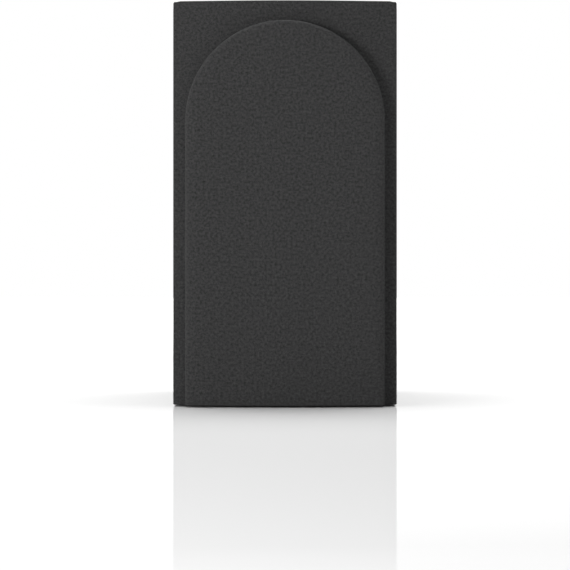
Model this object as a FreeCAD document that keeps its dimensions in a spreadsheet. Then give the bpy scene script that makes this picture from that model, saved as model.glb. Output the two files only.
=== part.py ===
# A two-way bookshelf loudspeaker with a cloth grille, built as the separate pieces that it comes apart into.
#
# Millimetres. +X is the listener's right, +Y runs back into the cabinet and +Z is up. The speaker stands on
# z = 0 with the middle of its overall width and depth on the Z axis. Pieces that face the listener, such as
# the drive units, are drawn with their own +Z pointing forwards from the baffle's front face, and pieces on
# the back are drawn with their own +Z pointing backwards from the rear panel's outer face.
import FreeCAD
import Part

import math
import os
import re

import Sketcher

DOC = FreeCAD.newDocument("BookshelfSpeaker")
SHEET = DOC.addObject("Spreadsheet::Sheet", "Sizes")
PIECES = []
Vector = FreeCAD.Vector
UP = Vector(0, 0, 1)

DRIVING_SIZES = [
    # Cabinet
    ("cabinet_width", 200, "outside width"),
    ("cabinet_height", 360, "outside height, without the feet"),
    ("cabinet_depth", 258, "from the baffle's front face to the rear edges of the wrap"),
    ("wall_thickness", 15, "side, top and bottom panels"),
    ("baffle_thickness", 18, "front baffle"),
    ("rear_thickness", 15, "rear panel"),
    ("rear_recess", 1.5, "how far the rear panel sits inside the wrap"),
    ("edge_round", 1.5, "outer corners of the wrapped carcass"),
    ("baffle_round", 2, "front edges of the baffle"),
    ("foot_height", 1, "thin rubber feet"),
    ("foot_radius", 8, "rubber feet"),
    ("foot_inset", 18, "from the cabinet's sides to a foot's centre"),
    ("brace_rise", 198, "middle of the brace above the cabinet's base"),
    ("brace_thickness", 15, "window brace"),
    ("brace_depth", 175, "window brace, back from the baffle"),
    ("brace_rail", 24, "wood left round the brace's windows"),
    ("window_round", 12, "corners of the brace's windows"),
    ("damping_thickness", 10, "foam pads on the cabinet's inner walls"),
    ("damping_gap", 6, "left clear round each foam pad"),
    # Grille
    ("grille_inset", 0.5, "how far the cloth stays inside the cabinet's outline"),
    ("grille_gap", 0.8, "between the grille and the baffle"),
    ("cloth_thickness", 0.8, "acoustic cloth, with the glue under it"),
    ("grille_edge", 8, "frame thickness at its left and right edges"),
    ("front_bow", 7, "how much further the frame's middle stands out than its edges"),
    ("relief_height", 14, "how far the arch stands out of the frame"),
    ("arch_half_width", 88, "half the arch's width, over the cloth"),
    ("arch_drop", 18.9, "from the grille's top to the top of the arch"),
    ("shoulder_round", 3.6, "front edge of the arch, over the cloth"),
    ("grille_round", 2, "outer corners of the grille, over the cloth"),
    ("rim_width", 9, "width of the arch's rim round the opening"),
    ("bottom_rail", 13, "frame below the opening"),
    ("crossbar_height", 9, "bar across the opening, between the drive units"),
    ("crossbar_depth", 6, "bar across the opening"),
    ("turn_in", 9, "cloth folded round on to the back of the frame"),
    ("peg_radius", 3.1, "grille pegs"),
    ("peg_nose", 1.4, "rounding of the pegs' ends"),
    ("peg_length", 9, "how far the pegs reach past the baffle's front face"),
    ("peg_inset", 14.5, "from the cabinet's sides to a peg's axis"),
    ("peg_margin", 20, "from the cabinet's top and base to a peg's axis"),
    ("peg_clearance", 0.1, "round a peg in its socket"),
    ("socket_wall", 1.8, "rubber sockets that hold the pegs"),
    ("socket_depth", 12, "rubber sockets"),
    # Woofer
    ("woofer_rise", 106, "centre above the cabinet's base"),
    ("woofer_flange_radius", 83, "outside of the basket's flange"),
    ("woofer_flange", 4, "thickness of the basket's flange"),
    ("woofer_seal_thickness", 1, "foam ring under the flange"),
    ("basket_clearance", 1.5, "round the basket in the baffle's hole"),
    ("woofer_bolt_radius", 78.7, "circle of the screws"),
    ("basket_radius", 72, "outside of the basket behind the flange"),
    ("basket_waist", 45.5, "outside of the basket at the magnet"),
    ("basket_depth", 49, "from the flange's front to the front plate"),
    ("basket_wall", 3, "thickness of the basket's legs and base"),
    ("basket_legs", 10, "how many legs the basket has"),
    ("leg_width", 8, "basket's legs"),
    ("ledge_step", 4, "width of the spider's ledge, beyond the basket's waist"),
    ("spider_depth", 34, "from the flange's front to the spider's ledge"),
    ("surround_inner", 56, "where the roll meets the cone"),
    ("surround_outer", 67, "where the roll meets the basket"),
    ("cone_lip", 2.5, "flat lip glued to the cone"),
    ("surround_lip", 6.5, "flat lip glued to the basket"),
    ("rubber_thickness", 0.9, "woofer surround"),
    ("cone_thickness", 0.9, "woofer cone"),
    ("cone_knee_depth", 21.5, "from the flange's front to where the cone starts to curve"),
    ("cone_neck_depth", 27.5, "from the flange's front to the cone's neck"),
    ("cone_curve", 95, "radius of the cone's curved stretch"),
    ("cap_margin", 1.5, "from the dust cap's edge to where the cone starts to curve"),
    ("glue_gap", 0.15, "glue between the cone and what sits on it"),
    ("cap_radius", 20.5, "dust cap"),
    ("cap_rise", 8.5, "dust cap's dome"),
    ("cap_thickness", 0.7, "dust cap"),
    ("coil_bore", 15, "inside of the voice coil former"),
    ("former_thickness", 0.25, "voice coil former"),
    ("coil_gap", 0.6, "air each side of the moving coil"),
    ("coil_winding", 1, "thickness of the winding"),
    ("coil_length", 12, "winding"),
    ("spider_thickness", 0.6, "spider"),
    ("spider_rolls", 5, "corrugations"),
    ("plate_thickness", 5, "front plate and the yoke's back plate"),
    ("plate_radius", 42, "front plate"),
    ("magnet_radius", 45, "ferrite ring"),
    ("magnet_edge", 0.8, "bevel of the ring's outer edges"),
    ("magnet_bore", 24, "ferrite ring"),
    ("magnet_thickness", 15, "ferrite ring"),
    ("vent_radius", 5, "bore through the pole"),
    ("strip_half_width", 11, "strip that carries the woofer's solder tags"),
    ("strip_thickness", 1.6, "the same strip"),
    ("strip_reach", 11, "from the basket's waist to a tag's middle"),
    ("tag_half_spacing", 6, "half of the spacing of the two tags"),
    ("tag_width", 3, "solder tags"),
    ("tag_thickness", 0.8, "solder tags"),
    ("tag_reach", 5, "how far the tags reach back past the basket"),
    ("trim_start", 1.4, "from the roll out to the trim ring"),
    ("trim_width", 6.2, "trim ring over the surround's lip"),
    ("trim_height", 2, "trim ring"),
    ("trim_round", 0.9, "trim ring's front edges"),
    ("driver_screw_length", 14, "screws of both drive units, under the head"),
    ("driver_screw_radius", 1.9, "shanks"),
    ("driver_head_radius", 3.5, "heads"),
    ("driver_head_height", 2.1, "heads"),
    ("head_sink", 1.4, "how far the heads are let into the tweeter's faceplate"),
    ("head_clearance", 0.4, "round a sunk head"),
    ("pilot_spare", 0.6, "how much deeper a pilot hole is than its screw"),
    ("rebate_clearance", 0.4, "round each drive unit in its rebate"),
    ("screw_clearance", 0.15, "round a shank"),
    # Tweeter
    ("faceplate_radius", 52, "tweeter's faceplate"),
    ("faceplate_thickness", 4, "tweeter's faceplate"),
    ("faceplate_round", 1, "its front edge"),
    ("tweeter_seal_thickness", 0.8, "foam ring under the faceplate"),
    ("boss_clearance", 4, "round the boss in the baffle's hole"),
    ("tweeter_bolt_radius", 45, "circle of the screws"),
    ("boss_radius", 31, "boss behind the faceplate"),
    ("boss_depth", 8.2, "from the faceplate's front to the back of its boss"),
    ("horn_mouth", 33, "radius of the faceplate's flare at the front"),
    ("throat_clearance", 0.2, "flare round the dome's roll"),
    ("horn_depth", 6.5, "depth of the flare"),
    ("horn_curve", 30, "radius of the flare's curve"),
    ("dome_radius", 12.6, "tweeter's dome"),
    ("dome_rise", 5, "tweeter's dome"),
    ("silk_thickness", 0.4, "dome and its roll"),
    ("small_roll_outer", 16.2, "outside of the tweeter's roll"),
    ("small_lip", 3.5, "lip clamped behind the faceplate"),
    ("small_former", 0.2, "thickness of the tweeter's coil former"),
    ("small_coil_gap", 0.45, "air each side of the tweeter's moving coil"),
    ("dome_skirt", 0.45, "how far inside the dome's edge its coil former sits"),
    ("small_winding", 0.6, "thickness of the tweeter's winding"),
    ("small_coil_length", 2.2, "tweeter's winding"),
    ("small_former_tail", 0.5, "how far the former runs past the winding"),
    ("small_pole_drop", 1, "from the diaphragm's seat down to the pole's top"),
    ("small_cone_lip", 0.2, "flat edge each side of the tweeter's roll"),
    ("small_plate_thickness", 3, "tweeter's plates"),
    ("small_magnet_radius", 30, "tweeter's magnet and front plate"),
    ("small_magnet_bore", 17, "tweeter's magnet"),
    ("small_magnet_thickness", 10, "tweeter's magnet"),
    ("small_yoke_radius", 27, "tweeter's yoke"),
    ("small_vent_radius", 3, "bore through the tweeter's pole"),
    ("chamber_depth", 13, "cup behind the tweeter's yoke"),
    ("chamber_wall", 1.5, "cup behind the tweeter's yoke"),
    # Port
    ("port_drop", 74, "from the cabinet's top down to the port's centre"),
    ("port_radius", 25, "bore of the tube"),
    ("port_length", 118, "from the rear panel's outer face to the tube's inner end"),
    ("port_wall", 2.5, "tube"),
    ("flare_round", 12, "radius of the flared mouth"),
    ("port_lip", 3, "how far the mouth stands proud of the rear panel"),
    ("port_collar", 7, "how far the mouth's lip covers the rear panel"),
    ("port_socket", 22, "from the rear panel's outer face to the end of the flare's socket"),
    ("port_fit", 0.1, "tube in the socket, and flare in the rear panel"),
    # Terminals
    ("terminal_rise", 78, "centre of the cup above the cabinet's base"),
    ("plate_width", 98, "terminal plate"),
    ("plate_height", 78, "terminal plate"),
    ("terminal_plate", 3, "thickness of the terminal plate"),
    ("terminal_seal_thickness", 0.8, "foam under the terminal plate"),
    ("cup_width", 66, "inside of the cup"),
    ("cup_height", 50, "inside of the cup"),
    ("cup_depth", 28, "from the plate's outer face to the cup's floor"),
    ("cup_wall", 2.5, "walls and floor of the cup"),
    ("cup_round", 7, "inner corners of the cup"),
    ("cup_clearance", 0.5, "round the cup in the rear panel"),
    ("plate_round", 8, "corners of the terminal plate"),
    ("plate_edge", 1.2, "rounding of the plate's outer edge"),
    ("plate_screw_inset", 7, "from the plate's edges to a screw's axis"),
    ("plate_screw_radius", 1.6, "shanks of the plate's screws"),
    ("plate_screw_length", 14, "plate's screws, under the head"),
    ("plate_head_radius", 3, "heads of the plate's screws"),
    ("plate_head_height", 1.8, "heads of the plate's screws"),
    ("post_spacing", 19, "between the two binding posts"),
    ("stud_radius", 3, "threaded studs"),
    ("socket_radius", 2, "bore for a 4 mm plug"),
    ("socket_length", 14, "bore for a 4 mm plug"),
    ("thread_clearance", 0.08, "between a stud and what runs on it"),
    ("collar_radius", 7.4, "insulating collars"),
    ("collar_height", 4, "insulating collars"),
    ("collar_edge", 0.8, "rounding of the collars' rims"),
    ("washer_radius", 6.4, "clamping washers"),
    ("washer_thickness", 1.5, "clamping washers"),
    ("knob_radius", 7.2, "clamping knobs"),
    ("knob_length", 16, "clamping knobs"),
    ("knob_end", 1.5, "end wall of a knob"),
    ("knob_mouth", 2.5, "radius of the hole in a knob's end"),
    ("knob_edge", 0.8, "edges of a knob"),
    ("knob_flutes", 12, "finger flutes round a knob"),
    ("flute_margin", 2.5, "plain band at each end of a knob"),
    ("flute_radius", 1, "finger flutes"),
    ("post_gap", 0.05, "between collar, washer and knob when they are done up"),
    ("nut_half_width", 5, "half of a hexagon nut's width across its flats"),
    ("nut_thickness", 3.2, "hexagon nuts"),
    ("stud_tail", 9, "how far a stud reaches in past the cup's floor"),
    # Crossover
    ("board_width", 118, "circuit board, left to right"),
    ("board_length", 84, "circuit board, front to back"),
    ("board_thickness", 1.6, "circuit board"),
    ("board_round", 3, "corners of the board"),
    ("board_back", 150, "middle of the board behind the baffle's front face"),
    ("standoff_height", 8, "spacers under the board"),
    ("standoff_radius", 4, "spacers under the board"),
    ("board_screw_radius", 1.5, "screws through the spacers"),
    ("board_screw_bite", 8, "how far they go into the bottom panel"),
    ("board_screw_inset", 6, "from the board's edges to a screw's axis"),
    ("part_gap", 0.4, "components above the board"),
    ("winding_round", 1.4, "rounding of wound and rolled components"),
    ("big_choke_radius", 19, "woofer's choke"),
    ("big_choke_bore", 8, "woofer's choke"),
    ("big_choke_height", 17, "woofer's choke"),
    ("small_choke_radius", 14, "tweeter's choke"),
    ("small_choke_bore", 6, "tweeter's choke"),
    ("small_choke_height", 10, "tweeter's choke"),
    ("film_radius", 8, "film capacitor"),
    ("film_length", 30, "film capacitor"),
    ("can_radius", 9, "electrolytic capacitor"),
    ("can_length", 36, "electrolytic capacitor"),
    ("resistor_length", 38, "cement resistor"),
    ("resistor_side", 9, "cement resistor"),
    ("lead_radius", 1.3, "insulated leads"),
]

SOLDER = 0.2  # between a lead's end and what it is soldered to

NAMES = {name for name, _, _ in DRIVING_SIZES}


def fill_sheet():
    """Puts each driving size in the spreadsheet as a plain number, with its name as the cell's alias."""
    for row, (name, number, meaning) in enumerate(DRIVING_SIZES, start=1):
        SHEET.set(f"A{row}", name)
        SHEET.set(f"B{row}", str(number))
        SHEET.set(f"C{row}", meaning)
        SHEET.setAlias(f"B{row}", name)
    DOC.recompute()


def cells(expression):
    """The same expression with each size's name turned into a reference to its cell."""
    words = re.compile(r"[a-z_]+")
    return words.sub(lambda word: f"Sizes.{word[0]}" if word[0] in NAMES else word[0], expression)


def value(expression):
    """What an expression of sizes comes to."""
    return float(SHEET.evalExpression(cells(expression)))


# Places that several pieces share, as expressions of the sizes.
GRILLE_DEPTH = "(grille_gap + 2 * cloth_thickness + grille_edge + front_bow + relief_height)"
REAR_FACE = "(cabinet_depth - rear_recess)"
REAR_REACH = f"({REAR_FACE} + terminal_seal_thickness + terminal_plate + plate_head_height)"
BAFFLE_FRONT = f"(({GRILLE_DEPTH} - {REAR_REACH}) / 2)"
GRILLE_BASE = "(foot_height + grille_inset)"
GRILLE_HALF = "(cabinet_width / 2 - grille_inset)"
GRILLE_HEIGHT = "(cabinet_height - 2 * grille_inset)"
ARCH_CENTRE = f"({GRILLE_HEIGHT} - arch_drop - arch_half_width)"
TWEETER_HEIGHT = f"({GRILLE_BASE} + {ARCH_CENTRE})"
WOOFER_HEIGHT = "(foot_height + woofer_rise)"
PORT_RISE = "(cabinet_height - port_drop)"
PORT_HEIGHT = f"(foot_height + {PORT_RISE})"
TERMINAL_HEIGHT = "(foot_height + terminal_rise)"
NICK = "(edge_round * (1 - sqrt(0.5)))"
INNER_HALF = "(cabinet_width / 2 - wall_thickness)"
INNER_TOP = "(cabinet_height - wall_thickness)"
WOOFER_REBATE = "(woofer_flange + woofer_seal_thickness)"
TWEETER_REBATE = "(faceplate_thickness + tweeter_seal_thickness)"
COIL_OUTSIDE = "(coil_bore + former_thickness)"
LEDGE_RADIUS = "(basket_waist + ledge_step)"
WOOFER_HOLE = "(basket_radius + basket_clearance)"
TWEETER_HOLE = "(boss_radius + boss_clearance)"
SMALL_BORE = "(dome_radius - dome_skirt)"
SMALL_COIL_OUTSIDE = f"({SMALL_BORE} + small_former + small_winding)"
TAG_RADIUS = "(basket_waist + strip_reach)"
CUP_FLOOR = "(terminal_seal_thickness + terminal_plate - cup_depth)"
WASHER_BASE = f"({CUP_FLOOR} + collar_height + post_gap)"
KNOB_BASE = f"({WASHER_BASE} + washer_thickness + post_gap)"
KNOB_TOP = f"({KNOB_BASE} + knob_length)"
STUD_TOP = f"({KNOB_TOP} - knob_end - 0.6)"
BOARD_BASE = "(foot_height + wall_thickness + standoff_height)"

FACING = {
    "up": FreeCAD.Rotation(),
    "front": FreeCAD.Rotation(Vector(1, 0, 0), 90),
    "rear": FreeCAD.Rotation(Vector(1, 0, 0), -90),
    "side": FreeCAD.Rotation(Vector(0, 1, 0), 90),
}


def place(thing, x, y, z, facing):
    """Turns a piece the way it faces and ties its place to the sheet. y counts from the baffle's front."""
    thing.Placement = FreeCAD.Placement(Vector(), FACING[facing])
    for axis, expression in zip("xyz", (x, f"{BAFFLE_FRONT} + {y}", z)):
        thing.setExpression(f"Placement.Base.{axis}", cells(expression))


def piece(label, x="0", y="0", z="0", facing="up", kept=True):
    """A new body for one sub-part. One that is only a tool for another piece isn't kept."""
    body = DOC.addObject("PartDesign::Body", label)
    body.Label = label
    place(body, x, y, z, facing)
    if kept:
        PIECES.append(body)
    return body


# Outlines. A corner is (x, y), and the edge that leaves it is straight, or (x, y, arc), where arc is
# ("centre", x, y, way) or ("radius", r, way). The way is 1 for anticlockwise and -1 for clockwise.


def arc_centre(start, end, arc):
    """Where an arc's centre is, from the two corners that it joins."""
    if arc[0] == "centre":
        return Vector(value(arc[1]), value(arc[2]), 0)
    chord = end - start
    rise = math.sqrt(value(arc[1]) ** 2 - chord.Length**2 / 4)
    normal = Vector(-chord.y, chord.x, 0).normalize()
    return (start + end) * 0.5 + normal * (rise * arc[2])


def draw_edge(sketch, start, end, corner):
    """Draws the edge from one corner to the next and returns its number and its points at start and end."""
    if len(corner) == 2:
        return sketch.addGeometry(Part.LineSegment(start, end), False), (1, 2)
    arc = corner[2]
    centre = arc_centre(start, end, arc)
    first, last = (start, end) if arc[-1] > 0 else (end, start)
    angles = [math.atan2(p.y - centre.y, p.x - centre.x) for p in (first, last)]
    if angles[1] <= angles[0]:
        angles[1] += 2 * math.pi
    circle = Part.Circle(centre, UP, (start - centre).Length)
    edge = sketch.addGeometry(Part.ArcOfCircle(circle, *angles), False)
    return edge, (1, 2) if arc[-1] > 0 else (2, 1)


def tie(sketch, kind, edge, point, expression):
    """Holds one coordinate of a point at an expression of the sizes."""
    held = Sketcher.Constraint(kind, -1, 1, edge, point, value(expression))
    sketch.setExpression(f"Constraints[{sketch.addConstraint(held)}]", cells(expression))


def draw_outline(sketch, corners):
    """Draws a closed outline with every corner and arc tied to the sheet."""
    points = [Vector(value(corner[0]), value(corner[1]), 0) for corner in corners]
    following = points[1:] + points[:1]
    edges = [draw_edge(sketch, *both, corner) for *both, corner in zip(points, following, corners)]
    for (edge, ends), (other, starts) in zip(edges, edges[1:] + edges[:1]):
        sketch.addConstraint(Sketcher.Constraint("Coincident", edge, ends[1], other, starts[0]))
    for (edge, ends), corner in zip(edges, corners):
        tie(sketch, "DistanceX", edge, ends[0], corner[0])
        tie(sketch, "DistanceY", edge, ends[0], corner[1])
    for (edge, _), corner, start, end in zip(edges, corners, points, following):
        if len(corner) == 3 and corner[2][0] == "radius":
            held = Sketcher.Constraint("Radius", edge, value(corner[2][1]))
            sketch.setExpression(f"Constraints[{sketch.addConstraint(held)}]", cells(corner[2][1]))
        elif len(corner) == 3:
            flat = abs(end.x - start.x) >= abs(end.y - start.y)
            tie(sketch, "DistanceY" if flat else "DistanceX", edge, 3, corner[2][2 if flat else 1])


def draw_circle(sketch, x, y, radius):
    edge = sketch.addGeometry(Part.Circle(Vector(value(x), value(y), 0), UP, value(radius)), False)
    held = Sketcher.Constraint("Radius", edge, value(radius))
    sketch.setExpression(f"Constraints[{sketch.addConstraint(held)}]", cells(radius))
    tie(sketch, "DistanceX", edge, 3, x)
    tie(sketch, "DistanceY", edge, 3, y)


def circle(radius, x="0", y="0"):
    return lambda sketch: draw_circle(sketch, x, y, radius)


def outline(*corners):
    return lambda sketch: draw_outline(sketch, corners)


def rectangle(left, bottom, right, top):
    return outline((left, bottom), (right, bottom), (right, top), (left, top))


def rounded(left, bottom, right, top, radius):
    """A rectangle with round corners."""
    west, east, south, north = (
        f"({left} + {radius})",
        f"({right} - {radius})",
        f"({bottom} + {radius})",
        f"({top} - {radius})",
    )
    return outline(
        (west, bottom),
        (east, bottom, ("centre", east, south, 1)),
        (right, south),
        (right, north, ("centre", east, north, 1)),
        (east, top),
        (west, top, ("centre", west, north, 1)),
        (left, north),
        (left, south, ("centre", west, south, 1)),
    )


def rounded_about(width, height, radius, x="0", y="0"):
    """A rectangle with round corners about a middle point."""
    return rounded(
        f"({x} - {width} / 2)",
        f"({y} - {height} / 2)",
        f"({x} + {width} / 2)",
        f"({y} + {height} / 2)",
        radius,
    )


def cross(x, y, arm, half):
    """The outline of a cross recess: the ends of its four arms, and the inner corner after each."""
    corners = []
    for a, b in ((1, 0), (0, 1), (-1, 0), (0, -1)):
        corners.append((f"{x} + {a} * {arm} + {b} * {half}", f"{y} + {b} * {arm} - {a} * {half}"))
        corners.append((f"{x} + {a} * {arm} - {b} * {half}", f"{y} + {b} * {arm} + {a} * {half}"))
        corners.append((f"{x} + {a - b} * {half}", f"{y} + {a + b} * {half}"))
    return outline(*corners)


def round_spots(count, radius, first):
    """Evenly spaced places on a circle, as pairs of expressions."""
    angles = [first + 360 * i / count for i in range(count)]
    return [(f"{radius} * cos({angle})", f"{radius} * sin({angle})") for angle in angles]


def corner_spots(across, along, x="0", y="0"):
    """The four corners of a rectangle about a middle point, as pairs of expressions."""
    return [(f"{x} + {a} * {across}", f"{y} + {b} * {along}") for a in (-1, 1) for b in (-1, 1)]


# Features


def draw(body, plane, shapes, lift):
    """A sketch on one of the body's own planes, lifted along the plane's normal."""
    sketch = body.newObject("Sketcher::SketchObject", f"{body.Label}_sketch")
    support = next(item for item in body.Origin.OriginFeatures if item.Role == plane)
    sketch.AttachmentSupport = [(support, "")]
    sketch.MapMode = "FlatFace"
    sketch.setExpression("AttachmentOffset.Base.z", cells(lift))
    for shape in shapes:
        shape(sketch)
    return sketch


def pad(body, plane, shapes, length, lift="0", back=False):
    """Adds material along the plane's normal, or against it."""
    made = body.newObject("PartDesign::Pad", f"{body.Label}_pad")
    made.Profile = draw(body, plane, shapes, lift)
    made.setExpression("Length", cells(length))
    made.Reversed = back
    return made


def pocket(body, plane, shapes, depth, lift="0", back=False):
    """Cuts material away against the plane's normal, or along it, and makes sure that some went."""
    DOC.recompute()
    before = body.Shape.Volume
    made = body.newObject("PartDesign::Pocket", f"{body.Label}_pocket")
    made.Profile = draw(body, plane, shapes, lift)
    made.setExpression("Length", cells(depth))
    made.Reversed = back
    DOC.recompute()
    if not body.Shape.Volume < before:
        raise ValueError(f"a pocket of {body.Label} cuts nothing")
    return made


def turn(body, *shapes):
    """Turns outlines, drawn as radius and height, about the body's own Z axis."""
    made = body.newObject("PartDesign::Revolution", f"{body.Label}_revolution")
    made.Profile = draw(body, "XZ_Plane", shapes, "0")
    made.ReferenceAxis = (made.Profile[0], ["V_Axis"])
    made.Angle = 360
    return made


def repeat(body, feature, count):
    """Repeats a feature round the body's own Z axis."""
    made = body.newObject("PartDesign::PolarPattern", f"{body.Label}_pattern")
    made.Originals = [feature]
    axis = next(item for item in body.Origin.OriginFeatures if item.Role == "Z_Axis")
    made.Axis = (axis, [""])
    made.Angle = 360
    made.setExpression("Occurrences", cells(count))
    body.Tip = made
    return made


def soften(body, radius, wanted):
    """Rounds the edges that a test picks, in the body's own frame."""
    DOC.recompute()
    last = body.Tip
    names = [f"Edge{i}" for i, edge in enumerate(last.Shape.Edges, start=1) if wanted(edge)]
    if not names:
        raise ValueError(f"{body.Label} has no such edge to round")
    made = body.newObject("PartDesign::Fillet", f"{body.Label}_fillet")
    made.Base = (last, names)
    made.setExpression("Radius", cells(radius))
    return made


def near(one, other):
    return abs(one - other) < 0.01


def at_height(height):
    """A test for edges that lie flat at one height of the body's own Z axis."""
    level = value(height)
    return lambda edge: near(edge.BoundBox.ZMin, level) and near(edge.BoundBox.ZMax, level)


# Cabinet


def upright_panel(label, side):
    """A side panel of the wrapped carcass, mitred at both ends. side is -1 on the left, 1 on the right."""
    body = piece(label, y="baffle_thickness", z="foot_height")
    outside = f"{side} * cabinet_width / 2"
    inside = f"{side} * {INNER_HALF}"
    centre = f"{side} * (cabinet_width / 2 - edge_round)"
    corner = f"{side} * (cabinet_width / 2 - {NICK})"
    sides = outline(
        (outside, "edge_round"),
        (outside, "cabinet_height - edge_round", ("centre", centre, "cabinet_height - edge_round", side)),
        (corner, f"cabinet_height - {NICK}"),
        (inside, INNER_TOP),
        (inside, "wall_thickness"),
        (corner, NICK, ("centre", centre, "edge_round", side)),
    )
    pad(body, "XZ_Plane", [sides], "cabinet_depth - baffle_thickness", back=True)


def flat_panel(label, base, way):
    """The top or bottom panel. base is the height of its outer face and way points into the cabinet."""
    body = piece(label, y="baffle_thickness", z="foot_height")
    flat = "(cabinet_width / 2 - edge_round)"
    corner = f"(cabinet_width / 2 - {NICK})"
    centre = f"{base} + {way} * edge_round"
    level = f"{base} + {way} * {NICK}"
    inside = f"{base} + {way} * wall_thickness"
    sides = outline(
        (f"-{flat}", base),
        (flat, base, ("centre", flat, centre, way)),
        (corner, level),
        (INNER_HALF, inside),
        (f"-{INNER_HALF}", inside),
        (f"-{corner}", level, ("centre", f"-{flat}", centre, way)),
    )
    pad(body, "XZ_Plane", [sides], "cabinet_depth - baffle_thickness", back=True)
    return body


def bottom_panel():
    """The bottom panel, drilled for the screws of the circuit board."""
    body = flat_panel("bottom_panel", "0", 1)
    holes = [circle("board_screw_radius + screw_clearance", *spot) for spot in board_screw_spots()]
    pocket(body, "XY_Plane", holes, "board_screw_bite + pilot_spare", lift="wall_thickness")


def board_screw_spots():
    """The board's screws on the bottom panel, whose own Y starts behind the baffle."""
    across = "(board_width / 2 - board_screw_inset)"
    along = "(board_length / 2 - board_screw_inset)"
    return corner_spots(across, along, y="(board_back - baffle_thickness)")


WOOFER_SCREWS = round_spots(6, "woofer_bolt_radius", 30)
TWEETER_SCREWS = round_spots(4, "tweeter_bolt_radius", 45)
PEG_ACROSS = "(cabinet_width / 2 - peg_inset)"
PEG_SPOTS = corner_spots(PEG_ACROSS, "(cabinet_height / 2 - peg_margin)", y="cabinet_height / 2")
SOCKET_RADIUS = "(peg_radius + peg_clearance + socket_wall)"


def front_baffle():
    """The baffle: rebated holes for the drive units, and holes for screws and the grille's sockets."""
    body = piece("front_baffle", z="foot_height")
    face = rounded("-cabinet_width / 2", "0", "cabinet_width / 2", "cabinet_height", "edge_round")
    pad(body, "XZ_Plane", [face], "baffle_thickness", back=True)
    soften(body, "baffle_round", lambda edge: near(edge.BoundBox.YMax, 0))
    tweeter = f"({TWEETER_HEIGHT} - foot_height)"
    units = (
        ("woofer_rise", "woofer_flange_radius", WOOFER_REBATE, WOOFER_HOLE, WOOFER_SCREWS, "0"),
        (tweeter, "faceplate_radius", TWEETER_REBATE, TWEETER_HOLE, TWEETER_SCREWS, "head_sink"),
    )
    for height, unit_radius, rebate, hole, spots, sink in units:
        pocket(body, "XZ_Plane", [circle(f"({unit_radius} + rebate_clearance)", y=height)], rebate)
        pocket(body, "XZ_Plane", [circle(hole, y=height)], "baffle_thickness")
        pilots = [circle("driver_screw_radius + screw_clearance", x, f"{height} + {z}") for x, z in spots]
        pocket(body, "XZ_Plane", pilots, f"driver_screw_length + {sink} + pilot_spare")
    pocket(body, "XZ_Plane", [circle(f"{SOCKET_RADIUS}", *spot) for spot in PEG_SPOTS], "socket_depth")


def rear_panel():
    """The rear panel, let into the wrap, with holes for the port, the terminal cup and the cup's screws."""
    body = piece("rear_panel", y=f"({REAR_FACE} - rear_thickness)", z="foot_height")
    face = rectangle(f"-{INNER_HALF}", "wall_thickness", INNER_HALF, INNER_TOP)
    pad(body, "XZ_Plane", [face], "rear_thickness", back=True)
    pocket(body, "XZ_Plane", [circle(FLARE_BODY, y=PORT_RISE)], "rear_thickness")
    hole = rounded_about(CUP_HOLE_WIDTH, CUP_HOLE_HEIGHT, CUP_HOLE_ROUND, y="terminal_rise")
    pocket(body, "XZ_Plane", [hole], "rear_thickness")
    pilots = [
        circle("plate_screw_radius + screw_clearance", x, f"terminal_rise + {z}") for x, z in PLATE_SCREWS
    ]
    bite = "plate_screw_length - terminal_plate - terminal_seal_thickness + pilot_spare"
    pocket(body, "XZ_Plane", pilots, bite, lift="-rear_thickness", back=True)


def window_brace():
    """A shelf across the cabinet between the drive units, with two windows that leave the air one space."""
    body = piece("window_brace", y="baffle_thickness", z="(foot_height + brace_rise - brace_thickness / 2)")
    pad(body, "XY_Plane", [rectangle(f"-{INNER_HALF}", "0", INNER_HALF, "brace_depth")], "brace_thickness")
    windows = [
        rounded(left, "brace_rail", right, "brace_depth - brace_rail", "window_round")
        for left, right in (
            (f"-({INNER_HALF} - brace_rail)", "-brace_rail / 2"),
            ("brace_rail / 2", f"({INNER_HALF} - brace_rail)"),
        )
    ]
    pocket(body, "XY_Plane", windows, "brace_thickness", lift="brace_thickness")


def damping_side_pads():
    """Four foam pads on the side walls, above and below the brace."""
    body = piece("damping_side_pads", y="(baffle_thickness + damping_gap)", z="foot_height")
    near = f"({INNER_HALF} - damping_thickness)"
    levels = (
        ("wall_thickness + damping_gap", "brace_rise - brace_thickness / 2 - damping_gap"),
        ("brace_rise + brace_thickness / 2 + damping_gap", f"{INNER_TOP} - damping_gap"),
    )
    slabs = [rectangle(near, low, INNER_HALF, high) for low, high in levels]
    slabs += [rectangle(f"-{INNER_HALF}", low, f"-{near}", high) for low, high in levels]
    depth = f"({REAR_FACE} - rear_thickness - baffle_thickness - 2 * damping_gap - damping_thickness)"
    pad(body, "XZ_Plane", slabs, depth, back=True)


def damping_rear_pad():
    """A foam pad on the rear panel, cut out round the port and the terminal cup."""
    front = f"({REAR_FACE} - rear_thickness - damping_thickness)"
    body = piece("damping_rear_pad", y=front, z="foot_height")
    half = f"({INNER_HALF} - damping_thickness - 1)"
    slab = rectangle(f"-{half}", "wall_thickness + damping_gap", half, f"{INNER_TOP} - damping_gap")
    pad(body, "XZ_Plane", [slab], "damping_thickness", back=True)
    room = "damping_gap"
    holes = [
        circle(f"{FLARE_BODY} + {room}", y=PORT_RISE),
        rounded_about(
            f"({CUP_HOLE_WIDTH} + {room})",
            f"({CUP_HOLE_HEIGHT} + {room})",
            CUP_HOLE_ROUND,
            y="terminal_rise",
        ),
    ]
    pocket(body, "XZ_Plane", holes, "damping_thickness")


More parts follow.
